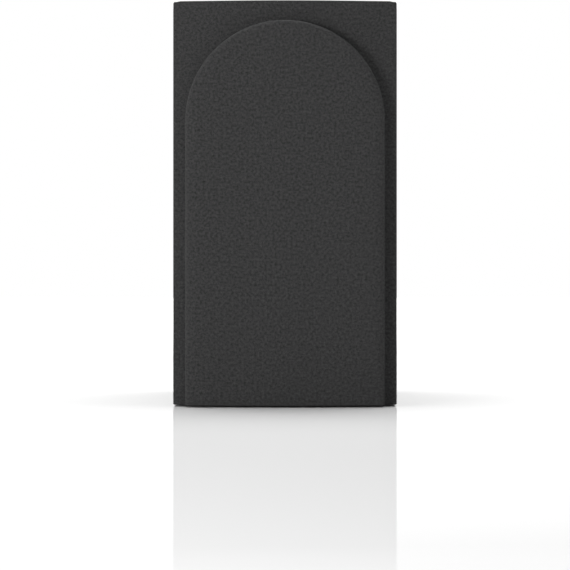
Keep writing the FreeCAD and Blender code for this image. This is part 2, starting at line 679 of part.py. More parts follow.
def rubber_feet():
    """Four round feet under the corners."""
    middle = "(cabinet_depth / 2)"
    body = piece("rubber_feet", y=middle)
    across = "(cabinet_width / 2 - foot_inset)"
    along = "(cabinet_depth / 2 - foot_inset)"
    spots = corner_spots(across, along)
    pad(body, "XY_Plane", [circle("foot_radius", *spot) for spot in spots], "foot_height")
    soften(body, "0.6", at_height("0"))


# Grille. Its forms are drawn over the baffle's front face, with z = 0 at the cloth's bottom edge.

FRONT_RADIUS = "((cabinet_width^2 / 4 + front_bow^2) / (2 * front_bow))"
FRONT_CENTRE = f"({FRONT_RADIUS} - grille_gap - cloth_thickness - grille_edge - front_bow)"


def bowed(radius, half):
    """Where a bowed face of that radius crosses x = half."""
    return f"({FRONT_CENTRE} - sqrt({radius}^2 - {half}^2))"


def arch(inset, bottom):
    """The arch's outline: straight sides and a half-round top."""
    half = f"(arch_half_width - {inset})"
    return outline(
        (f"-{half}", bottom),
        (half, bottom),
        (half, ARCH_CENTRE, ("centre", "0", ARCH_CENTRE, 1)),
        (f"-{half}", ARCH_CENTRE),
    )


def grille_form(label, inset, kept):
    """The grille as one full block: a plate with a bowed front, and the arch that stands out of it."""
    body = piece(label, z=GRILLE_BASE, kept=kept)
    half = f"({GRILLE_HALF} - {inset})"
    rear = f"-(grille_gap + {inset})"
    face = f"({FRONT_RADIUS} + cloth_thickness - {inset})"
    plan = outline(
        (f"-{half}", rear),
        (f"-{half}", bowed(face, half), ("centre", "0", FRONT_CENTRE, 1)),
        (half, bowed(face, half)),
        (half, rear),
    )
    pad(body, "XY_Plane", [plan], f"{GRILLE_HEIGHT} - 2 * {inset}", lift=inset)
    pad(body, "XZ_Plane", [arch(inset, inset)], GRILLE_DEPTH, lift=f"(grille_gap + {inset} + 1)")
    raised = f"({face} + relief_height)"
    past = "(arch_half_width + 2)"
    ahead = f"-({GRILLE_DEPTH} + grille_edge)"
    spare = outline(
        (f"-{past}", bowed(raised, past), ("centre", "0", FRONT_CENTRE, 1)),
        (past, bowed(raised, past)),
        (past, f"{ahead} - 10"),
        (f"-{past}", f"{ahead} - 10"),
    )
    pocket(body, "XY_Plane", [spare], GRILLE_HEIGHT, back=True)
    level = value("-(grille_gap + grille_edge + relief_height / 2)")
    above_base = value("bottom_rail")
    soften(
        body,
        f"shoulder_round - {inset}",
        lambda edge: edge.BoundBox.YMax < level and edge.BoundBox.ZMax > above_base,
    )
    side, front = value(half), value(bowed(face, half))
    soften(
        body,
        f"grille_round - {inset}",
        lambda edge: near(abs(edge.BoundBox.Center.x), side)
        and near(edge.BoundBox.YMax, front)
        and near(edge.BoundBox.YMin, front),
    )
    return body


def grille_frame():
    """The grille's moulded frame, with its opening, and a bar across the opening between the drive units."""
    body = grille_form("grille_frame", "cloth_thickness", True)
    inset = "(cloth_thickness + rim_width)"
    half = f"(arch_half_width - {inset})"
    rear = "(grille_gap + cloth_thickness)"
    between = f"({WOOFER_HEIGHT} + woofer_flange_radius + {TWEETER_HEIGHT} - faceplate_radius) / 2"
    bar = f"({between} - {GRILLE_BASE})"
    upper = outline(
        (f"-{half}", f"{bar} + crossbar_height / 2"),
        (half, f"{bar} + crossbar_height / 2"),
        (half, ARCH_CENTRE, ("centre", "0", ARCH_CENTRE, 1)),
        (f"-{half}", ARCH_CENTRE),
    )
    lower = rectangle(f"-{half}", "bottom_rail", half, f"{bar} - crossbar_height / 2")
    pocket(body, "XZ_Plane", [upper, lower], GRILLE_DEPTH, lift=rear, back=True)
    strip = rectangle(f"-{half}", f"{bar} - crossbar_height / 2", half, f"{bar} + crossbar_height / 2")
    pocket(body, "XZ_Plane", [strip], GRILLE_DEPTH, lift=f"({rear} + crossbar_depth)", back=True)


def grille_cloth():
    """The cloth: the form's skin, folded round on to the back of the frame."""
    skin = grille_form("cloth_outside", "0", False)
    half = f"({GRILLE_HALF} - turn_in)"
    window = rectangle(f"-{half}", "turn_in", half, f"{GRILLE_HEIGHT} - turn_in")
    pocket(skin, "XZ_Plane", [window], "cloth_thickness", lift="grille_gap", back=True)
    core = grille_form("cloth_inside", "cloth_thickness", False)
    cloth = DOC.addObject("Part::Cut", "grille_cloth")
    cloth.Label = "grille_cloth"
    cloth.Base = skin
    cloth.Tool = core
    PIECES.append(cloth)


def grille_pegs():
    """Four pegs on the back of the frame, with round noses."""
    body = piece("grille_pegs", z="foot_height")
    start = "(grille_gap + cloth_thickness)"
    pegs = [circle("peg_radius", *spot) for spot in PEG_SPOTS]
    pad(body, "XZ_Plane", pegs, f"{start} + peg_length", lift=start, back=True)
    nose = value("peg_length")
    soften(body, "peg_nose", lambda edge: near(edge.BoundBox.YMin, nose))


def grille_sockets():
    """Four rubber sockets in the baffle that grip the pegs."""
    body = piece("grille_sockets", z="foot_height")
    pad(body, "XZ_Plane", [circle(SOCKET_RADIUS, *spot) for spot in PEG_SPOTS], "socket_depth", back=True)
    bores = [circle("peg_radius + peg_clearance", *spot) for spot in PEG_SPOTS]
    pocket(body, "XZ_Plane", bores, "peg_length + pilot_spare")


# Woofer


def woofer_piece(label):
    return piece(label, z=WOOFER_HEIGHT, facing="front")


def woofer_basket():
    """The cast basket: flange, ledges for surround and spider, legs and the base that holds the magnet."""
    body = woofer_piece("woofer_basket")
    lip = "(surround_outer + surround_lip)"
    turn(
        body,
        outline(
            ("woofer_flange_radius", "-woofer_flange"),
            ("woofer_flange_radius", "-0.6"),
            ("woofer_flange_radius - 0.6", "0"),
            (f"{lip} + 0.2", "0"),
            (f"{lip} + 0.2", "-rubber_thickness"),
            ("surround_outer - 0.5", "-rubber_thickness"),
            ("surround_outer - 0.5", "-2 * woofer_flange"),
            (LEDGE_RADIUS, "-spider_depth"),
            ("basket_waist - basket_wall", "-spider_depth"),
            ("basket_waist - basket_wall", "-(basket_depth - basket_wall)"),
            ("magnet_bore", "-(basket_depth - basket_wall)"),
            ("magnet_bore", "-basket_depth"),
            ("basket_waist", "-basket_depth"),
            ("basket_waist", "-(spider_depth + basket_wall)"),
            (f"{LEDGE_RADIUS} + basket_wall", "-(spider_depth + basket_wall * 0.7)"),
            ("basket_radius", "-2 * woofer_flange"),
            ("basket_radius", "-woofer_flange"),
        ),
    )
    windows = basket_window(f"({LEDGE_RADIUS} + basket_wall * 1.4)", "(basket_radius - basket_wall)")
    holes = pocket(body, "XY_Plane", [windows], "basket_depth", lift="-2 * woofer_flange + 1")
    repeat(body, holes, "basket_legs")
    screws = [circle("driver_screw_radius + screw_clearance", *spot) for spot in WOOFER_SCREWS]
    pocket(body, "XY_Plane", screws, "woofer_flange")


def basket_window(inner, outer):
    """One gap between two legs: a piece of a ring whose ends lie along the legs' sides."""
    spread = "(180 deg / basket_legs)"
    side = "(leg_width / 2)"
    (inner_x, inner_y), (outer_x, outer_y) = (
        (f"({r} * cos({spread} - asin({side} / {r})))", f"({r} * sin({spread} - asin({side} / {r})))")
        for r in (inner, outer)
    )
    return outline(
        (inner_x, f"-{inner_y}"),
        (outer_x, f"-{outer_y}", ("centre", "0", "0", 1)),
        (outer_x, outer_y),
        (inner_x, inner_y, ("centre", "0", "0", -1)),
    )


def woofer_front_plate():
    body = woofer_piece("woofer_front_plate")
    bore = f"({COIL_OUTSIDE} + coil_winding + coil_gap)"
    turn(body, rectangle(bore, "-(basket_depth + plate_thickness)", "plate_radius", "-basket_depth"))


MAGNET_BACK = "(basket_depth + plate_thickness + magnet_thickness)"


def woofer_magnet():
    """The ferrite ring, with its outer edges ground off."""
    body = woofer_piece("woofer_magnet")
    front = "-(basket_depth + plate_thickness)"
    turn(
        body,
        outline(
            ("magnet_bore", f"-{MAGNET_BACK}"),
            ("magnet_radius - magnet_edge", f"-{MAGNET_BACK}"),
            ("magnet_radius", f"-{MAGNET_BACK} + magnet_edge"),
            ("magnet_radius", f"{front} - magnet_edge"),
            ("magnet_radius - magnet_edge", front),
            ("magnet_bore", front),
        ),
    )


def woofer_yoke():
    """The back plate and pole, with a vent bored through."""
    body = woofer_piece("woofer_yoke")
    pole = "(coil_bore - coil_gap)"
    turn(
        body,
        outline(
            ("vent_radius", f"-({MAGNET_BACK} + plate_thickness)"),
            ("plate_radius - 1", f"-({MAGNET_BACK} + plate_thickness)"),
            ("plate_radius", f"-({MAGNET_BACK} + plate_thickness - 1)"),
            ("plate_radius", f"-{MAGNET_BACK}"),
            (pole, f"-{MAGNET_BACK}"),
            (pole, "-(basket_depth - 0.5)"),
            ("vent_radius", "-(basket_depth - 0.5)"),
        ),
    )


def woofer_coil_former():
    body = woofer_piece("woofer_coil_former")
    turn(body, rectangle("coil_bore", f"-({COIL_END} + 1)", COIL_OUTSIDE, "-(cone_neck_depth - 1)"))


NECK_FRONT = "(cone_neck_depth - cone_thickness * 1.4)"
COIL_MIDDLE = "(basket_depth + plate_thickness / 2)"
COIL_END = f"({COIL_MIDDLE} + coil_length / 2)"


def woofer_voice_coil():
    body = woofer_piece("woofer_voice_coil")
    front = f"-({COIL_MIDDLE} - coil_length / 2)"
    turn(body, rectangle(COIL_OUTSIDE, f"-{COIL_END}", f"{COIL_OUTSIDE} + coil_winding", front))


def woofer_spider():
    """The corrugated cloth disc that centres the coil: flat lips, and rolls that go up and down in turn."""
    body = woofer_piece("woofer_spider")
    start = f"({COIL_OUTSIDE} + 2.5)"
    roll = f"((basket_waist - basket_wall - 0.5 - {start}) / spider_rolls / 2)"
    middle = "(-spider_depth + spider_thickness / 2)"
    half = "spider_thickness / 2"
    rolls = int(value("spider_rolls"))
    top, bottom = [], []
    for i in range(rolls):
        centre = f"({start} + (2 * {i} + 1) * {roll})"
        way = 1 if i % 2 else -1
        upper, under = f"({roll} - {way} * {half})", f"({roll} + {way} * {half})"
        top.append((f"{centre} - {upper}", middle, ("centre", centre, middle, way)))
        bottom.append((f"{centre} + {under}", middle, ("centre", centre, middle, -way)))
    last = f"({start} + 2 * {rolls} * {roll})"
    ends = [
        (f"{last} - {1 if rolls % 2 else -1} * -{half}", middle),
        (f"{last} + 0.5", f"{middle} + {half}"),
        (f"{LEDGE_RADIUS} - glue_gap", f"{middle} + {half}"),
        (f"{LEDGE_RADIUS} - glue_gap", f"{middle} - {half}"),
        (f"{last} + 0.5", f"{middle} - {half}"),
    ]
    starts = [
        (f"{start} + {half}", middle),
        (f"{start} - 0.5", f"{middle} - {half}"),
        (COIL_OUTSIDE, f"{middle} - {half}"),
        (COIL_OUTSIDE, f"{middle} + {half}"),
        (f"{start} - 0.8", f"{middle} + {half}"),
    ]
    turn(body, outline(*top, *ends, *reversed(bottom), *starts))


def woofer_cone():
    """The cone: a straight neck under the dust cap, then a gentle curve out to the surround."""
    body = woofer_piece("woofer_cone")
    knee = "(cap_radius + cap_margin)"
    skin = "cone_thickness"
    turn(
        body,
        outline(
            (COIL_OUTSIDE, "-cone_neck_depth"),
            (knee, f"-(cone_knee_depth + {skin})", ("radius", f"cone_curve - {skin}", -1)),
            ("surround_inner", f"-(rubber_thickness + {skin} + glue_gap)"),
            ("surround_inner", "-(rubber_thickness + glue_gap)", ("radius", "cone_curve", 1)),
            (knee, "-cone_knee_depth"),
            (COIL_OUTSIDE, f"-{NECK_FRONT}"),
        ),
    )


def woofer_dust_cap():
    """The dome that closes the cone's neck, glued to the straight stretch."""
    body = woofer_piece("woofer_dust_cap")
    drop = f"({NECK_FRONT} - cone_knee_depth)"
    slope = f"({drop} / (cap_radius + cap_margin - {COIL_OUTSIDE}))"
    seat = f"(-cone_knee_depth - cap_margin * {slope} + glue_gap)"
    dome = "((cap_radius^2 + cap_rise^2) / (2 * cap_rise))"
    centre = f"({seat} + cap_rise - {dome})"
    inner = f"sqrt(({dome} - cap_thickness)^2 - ({seat} - {centre})^2)"
    turn(
        body,
        outline(
            ("cap_radius", seat, ("centre", "0", centre, 1)),
            ("0", f"{seat} + cap_rise"),
            ("0", f"{seat} + cap_rise - cap_thickness", ("centre", "0", centre, -1)),
            (inner, seat),
        ),
    )


def rolled_edge(inner, outer, thickness, top, lip_in, lip_out):
    """A half roll between two radii, with a flat lip each side. top is the height of the lips' front."""
    centre = f"(({inner} + {outer}) / 2)"
    level = f"({top} - {thickness} / 2)"
    mean = f"(({outer} - {inner}) / 2)"
    large, small = f"({mean} + {thickness} / 2)", f"({mean} - {thickness} / 2)"
    foot = f"sqrt({large}^2 - ({thickness} / 2)^2)"
    return outline(
        (f"{inner} - {lip_in}", top),
        (f"{centre} - {foot}", top, ("centre", centre, level, -1)),
        (f"{centre} + {foot}", top),
        (f"{outer} + {lip_out}", top),
        (f"{outer} + {lip_out}", f"{top} - {thickness}"),
        (outer, f"{top} - {thickness}"),
        (f"{centre} + {small}", level, ("centre", centre, level, 1)),
        (f"{centre} - {small}", level),
        (inner, f"{top} - {thickness}"),
        (f"{inner} - {lip_in}", f"{top} - {thickness}"),
    )


def woofer_surround():
    """The half-roll rubber surround."""
    body = woofer_piece("woofer_surround")
    lips = ("cone_lip", "surround_lip")
    turn(body, rolled_edge("surround_inner", "surround_outer", "rubber_thickness", "0", *lips))


def woofer_trim_ring():
    """The ring that covers the surround's glued lip, with its front edges rounded."""
    body = woofer_piece("woofer_trim_ring")
    inner = "(surround_outer + trim_start)"
    outer = f"({inner} + trim_width)"
    shoulder = "(trim_height - trim_round)"
    turn(
        body,
        outline(
            (inner, "0"),
            (outer, "0"),
            (outer, shoulder, ("centre", f"({outer} - trim_round)", shoulder, 1)),
            (f"({outer} - trim_round)", "trim_height"),
            (f"({inner} + trim_round)", "trim_height", ("centre", f"({inner} + trim_round)", shoulder, 1)),
            (inner, shoulder),
        ),
    )


def seal_ring(body, inner, outer, front, back, screws):
    """A foam ring under a flange, punched for the screws."""
    turn(body, rectangle(inner, f"-{back}", outer, f"-{front}"))
    holes = [circle("driver_screw_radius + screw_clearance", *spot) for spot in screws]
    pocket(body, "XY_Plane", holes, f"{back}")


def woofer_terminal_strip():
    """An insulating strip on the basket's waist that carries the two solder tags."""
    body = woofer_piece("woofer_terminal_strip")
    near = "(basket_waist + 0.1)"
    strip = outline(
        ("-strip_half_width", f"-{TAG_RADIUS} - 3"),
        ("strip_half_width", f"-{TAG_RADIUS} - 3"),
        ("strip_half_width", f"-sqrt({near}^2 - strip_half_width^2)", ("centre", "0", "0", -1)),
        ("-strip_half_width", f"-sqrt({near}^2 - strip_half_width^2)"),
    )
    pad(body, "XY_Plane", [strip], "strip_thickness", lift="-(basket_depth - 1)")
    tags = [
        rectangle(
            f"{x} - tag_width / 2",
            f"-({TAG_RADIUS} + tag_thickness / 2)",
            f"{x} + tag_width / 2",
            f"-({TAG_RADIUS} - tag_thickness / 2)",
        )
        for x in ("-tag_half_spacing", "tag_half_spacing")
    ]
    pad(body, "XY_Plane", tags, "tag_reach - 1 + strip_thickness", lift="-(basket_depth + tag_reach)")


def screws(label, y, z, facing, spots, seat, size):
    """Pan-head screws with a cross recess. size is (head radius, head height, shank radius, length)."""
    head_radius, head_height, shank_radius, length = size
    body = piece(label, y=y, z=z, facing=facing)
    pad(body, "XY_Plane", [circle(shank_radius, *spot) for spot in spots], length, lift=seat, back=True)
    pad(body, "XY_Plane", [circle(head_radius, *spot) for spot in spots], head_height, lift=seat)
    soften(body, f"{head_height} * 0.6", at_height(f"{seat} + {head_height}"))
    crosses = [cross(x, y, f"({head_radius} * 0.55)", f"({head_radius} * 0.13)") for x, y in spots]
    pocket(body, "XY_Plane", crosses, f"{head_height} * 0.7", lift=f"{seat} + {head_height}")


DRIVER_SCREW = ("driver_head_radius", "driver_head_height", "driver_screw_radius", "driver_screw_length")


def woofer():
    woofer_basket()
    woofer_front_plate()
    woofer_magnet()
    woofer_yoke()
    woofer_spider()
    woofer_surround()
    woofer_cone()
    woofer_dust_cap()
    woofer_coil_former()
    woofer_voice_coil()
    woofer_trim_ring()
    seal_ring(
        woofer_piece("woofer_seal"),
        WOOFER_HOLE,
        "woofer_flange_radius",
        "woofer_flange",
        WOOFER_REBATE,
        WOOFER_SCREWS,
    )
    woofer_terminal_strip()
    screws("woofer_screws", "0", WOOFER_HEIGHT, "front", WOOFER_SCREWS, "0", DRIVER_SCREW)


# Tweeter

SMALL_SEAT = "(boss_depth + silk_thickness)"
SMALL_COIL_BACK = f"({SMALL_SEAT} + small_plate_thickness / 2 + small_coil_length / 2)"
SMALL_MAGNET_FRONT = f"({SMALL_SEAT} + small_plate_thickness)"
SMALL_MAGNET_BACK = f"({SMALL_MAGNET_FRONT} + small_magnet_thickness)"
SMALL_YOKE_BACK = f"({SMALL_MAGNET_BACK} + small_plate_thickness)"


def tweeter_piece(label):
    return piece(label, z=TWEETER_HEIGHT, facing="front")


def tweeter_faceplate():
    """The round faceplate with a short flare round the dome and a boss behind."""
    body = tweeter_piece("tweeter_faceplate")
    throat = "(small_roll_outer + throat_clearance)"
    edge = "faceplate_radius - faceplate_round"
    turn(
        body,
        outline(
            ("faceplate_radius", "-faceplate_thickness"),
            ("faceplate_radius", "-faceplate_round", ("centre", edge, "-faceplate_round", 1)),
            (edge, "0"),
            ("horn_mouth", "0", ("radius", "horn_curve", 1)),
            (throat, "-horn_depth"),
            (throat, "-boss_depth"),
            ("boss_radius", "-boss_depth"),
            ("boss_radius", "-faceplate_thickness"),
        ),
    )
    holes = [circle("driver_screw_radius + screw_clearance", *spot) for spot in TWEETER_SCREWS]
    pocket(body, "XY_Plane", holes, "faceplate_thickness")
    sinks = [circle("driver_head_radius + head_clearance", *spot) for spot in TWEETER_SCREWS]
    pocket(body, "XY_Plane", sinks, "head_sink")


def tweeter_dome():
    """The silk dome, with a short skirt that the coil former is glued to."""
    body = tweeter_piece("tweeter_dome")
    seat = "(-boss_depth)"
    dome = "((dome_radius^2 + dome_rise^2) / (2 * dome_rise))"
    centre = f"({seat} + dome_rise - {dome})"
    inner = f"sqrt(({dome} - silk_thickness)^2 - ({seat} - {centre})^2)"
    turn(
        body,
        outline(
            ("dome_radius", seat, ("centre", "0", centre, 1)),
            ("0", f"{seat} + dome_rise"),
            ("0", f"{seat} + dome_rise - silk_thickness", ("centre", "0", centre, -1)),
            (inner, seat),
            (inner, f"{seat} - silk_thickness"),
            ("dome_radius", f"{seat} - silk_thickness"),
        ),
    )


def tweeter_coil():
    """The tweeter's coil former and the winding on it."""
    outside = f"({SMALL_BORE} + small_former)"
    former = tweeter_piece("tweeter_coil_former")
    back = f"-({SMALL_COIL_BACK} + small_former_tail)"
    turn(former, rectangle(SMALL_BORE, back, outside, f"-{SMALL_SEAT}"))
    coil = tweeter_piece("tweeter_voice_coil")
    front = f"-({SMALL_COIL_BACK} - small_coil_length)"
    turn(coil, rectangle(outside, f"-{SMALL_COIL_BACK}", SMALL_COIL_OUTSIDE, front))


def tweeter_magnet_system():
    """The tweeter's front plate, ferrite ring, yoke and rear chamber."""
    plate = tweeter_piece("tweeter_front_plate")
    bore = f"({SMALL_COIL_OUTSIDE} + small_coil_gap)"
    turn(plate, rectangle(bore, f"-{SMALL_MAGNET_FRONT}", "small_magnet_radius", f"-{SMALL_SEAT}"))
    magnet = tweeter_piece("tweeter_magnet")
    back = f"-{SMALL_MAGNET_BACK}"
    turn(magnet, rectangle("small_magnet_bore", back, "small_magnet_radius", f"-{SMALL_MAGNET_FRONT}"))
    yoke = tweeter_piece("tweeter_yoke")
    pole, pole_top = f"({SMALL_BORE} - small_coil_gap)", f"-({SMALL_SEAT} + small_pole_drop)"
    turn(
        yoke,
        outline(
            ("small_vent_radius", f"-{SMALL_YOKE_BACK}"),
            ("small_yoke_radius", f"-{SMALL_YOKE_BACK}"),
            ("small_yoke_radius", back),
            (pole, back),
            (pole, pole_top),
            ("small_vent_radius", pole_top),
        ),
    )
    chamber = tweeter_piece("tweeter_rear_chamber")
    end = f"({SMALL_YOKE_BACK} + chamber_depth)"
    turn(
        chamber,
        outline(
            ("small_yoke_radius", f"-{SMALL_YOKE_BACK}"),
            ("small_yoke_radius - chamber_wall", f"-{SMALL_YOKE_BACK}"),
            ("small_yoke_radius - chamber_wall", f"-({end} - chamber_wall)"),
            ("0", f"-({end} - chamber_wall)"),
            ("0", f"-{end}"),
            ("small_yoke_radius", f"-{end}"),
        ),
    )


def tweeter_surround():
    """The dome's silk roll, with its outer lip clamped behind the faceplate."""
    inner, outer = "(dome_radius + small_cone_lip)", "(small_roll_outer - small_cone_lip)"
    lips = ("small_cone_lip", "small_lip")
    ring = tweeter_piece("tweeter_surround")
    turn(ring, rolled_edge(inner, outer, "silk_thickness", "-boss_depth", *lips))


def tweeter():
    tweeter_faceplate()
    tweeter_dome()
    tweeter_surround()
    tweeter_coil()
    tweeter_magnet_system()
    seal_ring(
        tweeter_piece("tweeter_seal"),
        TWEETER_HOLE,
        "faceplate_radius",
        "faceplate_thickness",
        TWEETER_REBATE,
        TWEETER_SCREWS,
    )
    screws("tweeter_screws", "0", TWEETER_HEIGHT, "front", TWEETER_SCREWS, "-head_sink", DRIVER_SCREW)


# Port

FLARE_BODY = "(port_radius + port_wall + port_fit + 5)"


def port_flare():
    """The flared mouth, glued into the rear panel, with a socket for the tube."""
    body = piece("port_flare", y=REAR_FACE, z=PORT_HEIGHT, facing="rear")
    throat = "(port_lip - flare_round)"
    mouth = "(port_radius + flare_round)"
    outside = f"({FLARE_BODY} - port_fit)"
    sleeve = "(port_radius + port_wall + port_fit)"
    lip = f"({FLARE_BODY} + port_collar)"
    turn(
        body,
        outline(
            ("port_radius", throat, ("centre", mouth, throat, -1)),
            (mouth, "port_lip"),
            (f"{lip} - 1.5", "port_lip", ("centre", f"{lip} - 1.5", "port_lip - 1.5", -1)),
            (lip, "port_lip - 1.5"),
            (lip, "0"),
            (outside, "0"),
            (outside, f"-(port_socket * 0.4)"),
            (f"{sleeve} + port_wall", f"-(port_socket * 0.55)"),
            (f"{sleeve} + port_wall", "-port_socket"),
            (sleeve, "-port_socket"),
            (sleeve, throat),
        ),
    )


def port_tube():
    body = piece("port_tube", y=REAR_FACE, z=PORT_HEIGHT, facing="rear")
    outer = "port_radius + port_wall"
    turn(body, rectangle("port_radius", "-port_length", outer, "(port_lip - flare_round)"))


# Terminals

CUP_OUTER_WIDTH = "(cup_width + 2 * cup_wall)"
CUP_OUTER_HEIGHT = "(cup_height + 2 * cup_wall)"
CUP_HOLE_WIDTH = f"({CUP_OUTER_WIDTH} + 2 * cup_clearance)"
CUP_HOLE_HEIGHT = f"({CUP_OUTER_HEIGHT} + 2 * cup_clearance)"
CUP_HOLE_ROUND = "(cup_round + cup_wall + cup_clearance)"
PLATE_SCREWS = corner_spots(
    "(plate_width / 2 - plate_screw_inset)",
    "(plate_height / 2 - plate_screw_inset)",
)
POST_HALF = "(post_spacing / 2)"


def rear_piece(label, x="0"):
    return piece(label, x=x, y=REAR_FACE, z=TERMINAL_HEIGHT, facing="rear")


def terminal_cup():
    """The moulded plate and cup that the binding posts stand in."""
    body = rear_piece("terminal_cup")
    face = "(terminal_seal_thickness + terminal_plate)"
    deep = f"({CUP_FLOOR} - cup_wall)"
    plate = rounded_about("plate_width", "plate_height", "plate_round")
    pad(body, "XY_Plane", [plate], "terminal_plate", lift="terminal_seal_thickness")
    box = rounded_about(CUP_OUTER_WIDTH, CUP_OUTER_HEIGHT, "(cup_round + cup_wall)")
    pad(body, "XY_Plane", [box], f"{face} - 1 - {deep}", lift=deep)
    pocket(body, "XY_Plane", [rounded_about("cup_width", "cup_height", "cup_round")], "cup_depth", lift=face)
    studs = [circle("stud_radius + thread_clearance", x) for x in (POST_HALF, f"-{POST_HALF}")]
    pocket(body, "XY_Plane", studs, "cup_wall", lift=CUP_FLOOR)
    holes = [circle("plate_screw_radius + screw_clearance", *spot) for spot in PLATE_SCREWS]
    pocket(body, "XY_Plane", holes, "terminal_plate", lift=face)
    on_face = at_height(face)
    rim_x, rim_y = value("plate_width / 2 - plate_round"), value("plate_height / 2 - plate_round")
    hole = value("plate_screw_radius + screw_clearance")
    soften(
        body,
        "plate_edge",
        lambda edge: on_face(edge)
        and (abs(edge.BoundBox.Center.x) > rim_x or abs(edge.BoundBox.Center.y) > rim_y)
        and edge.Length > 2 * math.pi * hole + 0.1,
    )


def terminal_seal():
    body = rear_piece("terminal_seal")
    sides = [
        rounded_about("plate_width", "plate_height", "plate_round"),
        rounded_about(CUP_HOLE_WIDTH, CUP_HOLE_HEIGHT, CUP_HOLE_ROUND),
    ]
    pad(body, "XY_Plane", sides, "terminal_seal_thickness")
    holes = [circle("plate_screw_radius + screw_clearance", *spot) for spot in PLATE_SCREWS]
    pocket(body, "XY_Plane", holes, "terminal_seal_thickness", lift="terminal_seal_thickness")


def post_studs():
    """The two studs, bored for a 4 mm plug and cross-drilled for a bare wire."""
    body = rear_piece("post_studs")
    tail = f"({CUP_FLOOR} - cup_wall - stud_tail)"
    spots = (POST_HALF, f"-{POST_HALF}")
    pad(body, "XY_Plane", [circle("stud_radius", x) for x in spots], f"{STUD_TOP} - {tail}", lift=tail)
    pocket(body, "XY_Plane", [circle("socket_radius", x) for x in spots], "socket_length", lift=STUD_TOP)


def post_collars():
    """The insulating collars at the foot of the studs."""
    body = rear_piece("post_collars")
    spots = (POST_HALF, f"-{POST_HALF}")
    pad(body, "XY_Plane", [circle("collar_radius", x) for x in spots], "collar_height", lift=CUP_FLOOR)
    pocket(
        body,
        "XY_Plane",
        [circle("stud_radius + thread_clearance", x) for x in spots],
        "collar_height",
        lift=f"{CUP_FLOOR} + collar_height",
    )
    on_top = at_height(f"{CUP_FLOOR} + collar_height")
    rim = value("collar_radius")
    soften(body, "collar_edge", lambda edge: on_top(edge) and near(edge.Curve.Radius, rim))


def post_washer(colour, x):
    """The washer that clamps a bare wire or a spade."""
    body = rear_piece(f"post_washer_{colour}", x)
    top = f"{WASHER_BASE} + washer_thickness"
    turn(body, rectangle("stud_radius + thread_clearance", WASHER_BASE, "washer_radius", top))


def post_knob(colour, x):
    """The fluted knob that runs on the stud's thread, open at its end for a plug."""
    body = rear_piece(f"post_knob_{colour}", x)
    flat, shoulder = "(knob_radius - knob_edge)", f"({KNOB_TOP} - knob_edge)"
    turn(
        body,
        outline(
            ("stud_radius + thread_clearance", KNOB_BASE),
            (flat, KNOB_BASE),
            ("knob_radius", f"{KNOB_BASE} + knob_edge"),
            ("knob_radius", shoulder, ("centre", flat, shoulder, 1)),
            (flat, KNOB_TOP),
            ("knob_mouth", KNOB_TOP),
            ("knob_mouth", f"{KNOB_TOP} - knob_end"),
            ("stud_radius + thread_clearance", f"{KNOB_TOP} - knob_end"),
        ),
    )
    flute = circle("flute_radius", "knob_radius + flute_radius * 0.4")
    length = "knob_length - 2 * flute_margin"
    cut = pocket(body, "XY_Plane", [flute], length, lift=f"{KNOB_TOP} - flute_margin")
    repeat(body, cut, "knob_flutes")


def post_nuts():
    """The hexagon nuts that hold the studs behind the cup's floor."""
    body = rear_piece("post_nuts")
    top = f"({CUP_FLOOR} - cup_wall)"
    corner = "(nut_half_width / cos(30))"
    hexagons = [
        outline(*[(f"{x} + {corner} * cos({60 * i})", f"{corner} * sin({60 * i})") for i in range(6)])
        for x in (POST_HALF, f"-{POST_HALF}")
    ]
    pad(body, "XY_Plane", hexagons, "nut_thickness", lift=top, back=True)
    bores = [circle("stud_radius + thread_clearance", x) for x in (POST_HALF, f"-{POST_HALF}")]
    pocket(body, "XY_Plane", bores, "nut_thickness", lift=top)


def terminals():
    terminal_cup()
    terminal_seal()
    size = ("plate_head_radius", "plate_head_height", "plate_screw_radius", "plate_screw_length")
    screws(
        "terminal_screws",
        REAR_FACE,
        TERMINAL_HEIGHT,
        "rear",
        PLATE_SCREWS,
        "(terminal_seal_thickness + terminal_plate)",
        size,
    )
    post_studs()
    post_collars()
    for colour, x in (("red", f"-{POST_HALF}"), ("black", POST_HALF)):
        post_washer(colour, x)
        post_knob(colour, x)
    post_nuts()


# Crossover, on the bottom panel behind the woofer


def board_piece(label, x="0", y="0", lift="0", facing="up"):
    """A piece placed from the middle of the board's top face."""
    return piece(label, x, f"(board_back + {y})", f"({BOARD_BASE} + board_thickness + {lift})", facing)


def crossover():
    """The circuit board, its spacers and screws, and the components soldered to it."""
    board = board_piece("crossover_board")
    across = "(board_width / 2 - board_screw_inset)"
    along = "(board_length / 2 - board_screw_inset)"
    spots = corner_spots(across, along)
    holes = [circle("board_screw_radius + screw_clearance", *spot) for spot in spots]
    sheet = rounded_about("board_width", "board_length", "board_round")
    pad(board, "XY_Plane", [sheet], "board_thickness", back=True)
    pocket(board, "XY_Plane", holes, "board_thickness")
    spacers = board_piece("board_standoffs", lift="(-board_thickness)")
    rounds = [circle("standoff_radius", *spot) for spot in spots]
    pad(spacers, "XY_Plane", rounds, "standoff_height", back=True)
    pocket(spacers, "XY_Plane", holes, "standoff_height")
    size = ("2.8", "1.6", "board_screw_radius", "(board_thickness + standoff_height + board_screw_bite)")
    screws("board_screws", "board_back", f"({BOARD_BASE} + board_thickness)", "up", spots, "0", size)
    chokes()
    capacitors()
    resistor()


def resistor():
    """The cement resistor: a square block that stands just off the board."""
    body = board_piece("crossover_resistor", "24", "23")
    half, side = "resistor_length / 2", "resistor_side / 2"
    pad(body, "XY_Plane", [rectangle(f"-{half}", f"-{side}", half, side)], "resistor_side", lift="part_gap")
    soften(body, "part_gap", at_height("part_gap + resistor_side"))


def coil_outline(bore, radius, height):
    """Half a section of a wound coil with slightly rounded corners."""
    return rounded(bore, "part_gap", radius, f"(part_gap + {height})", "winding_round")


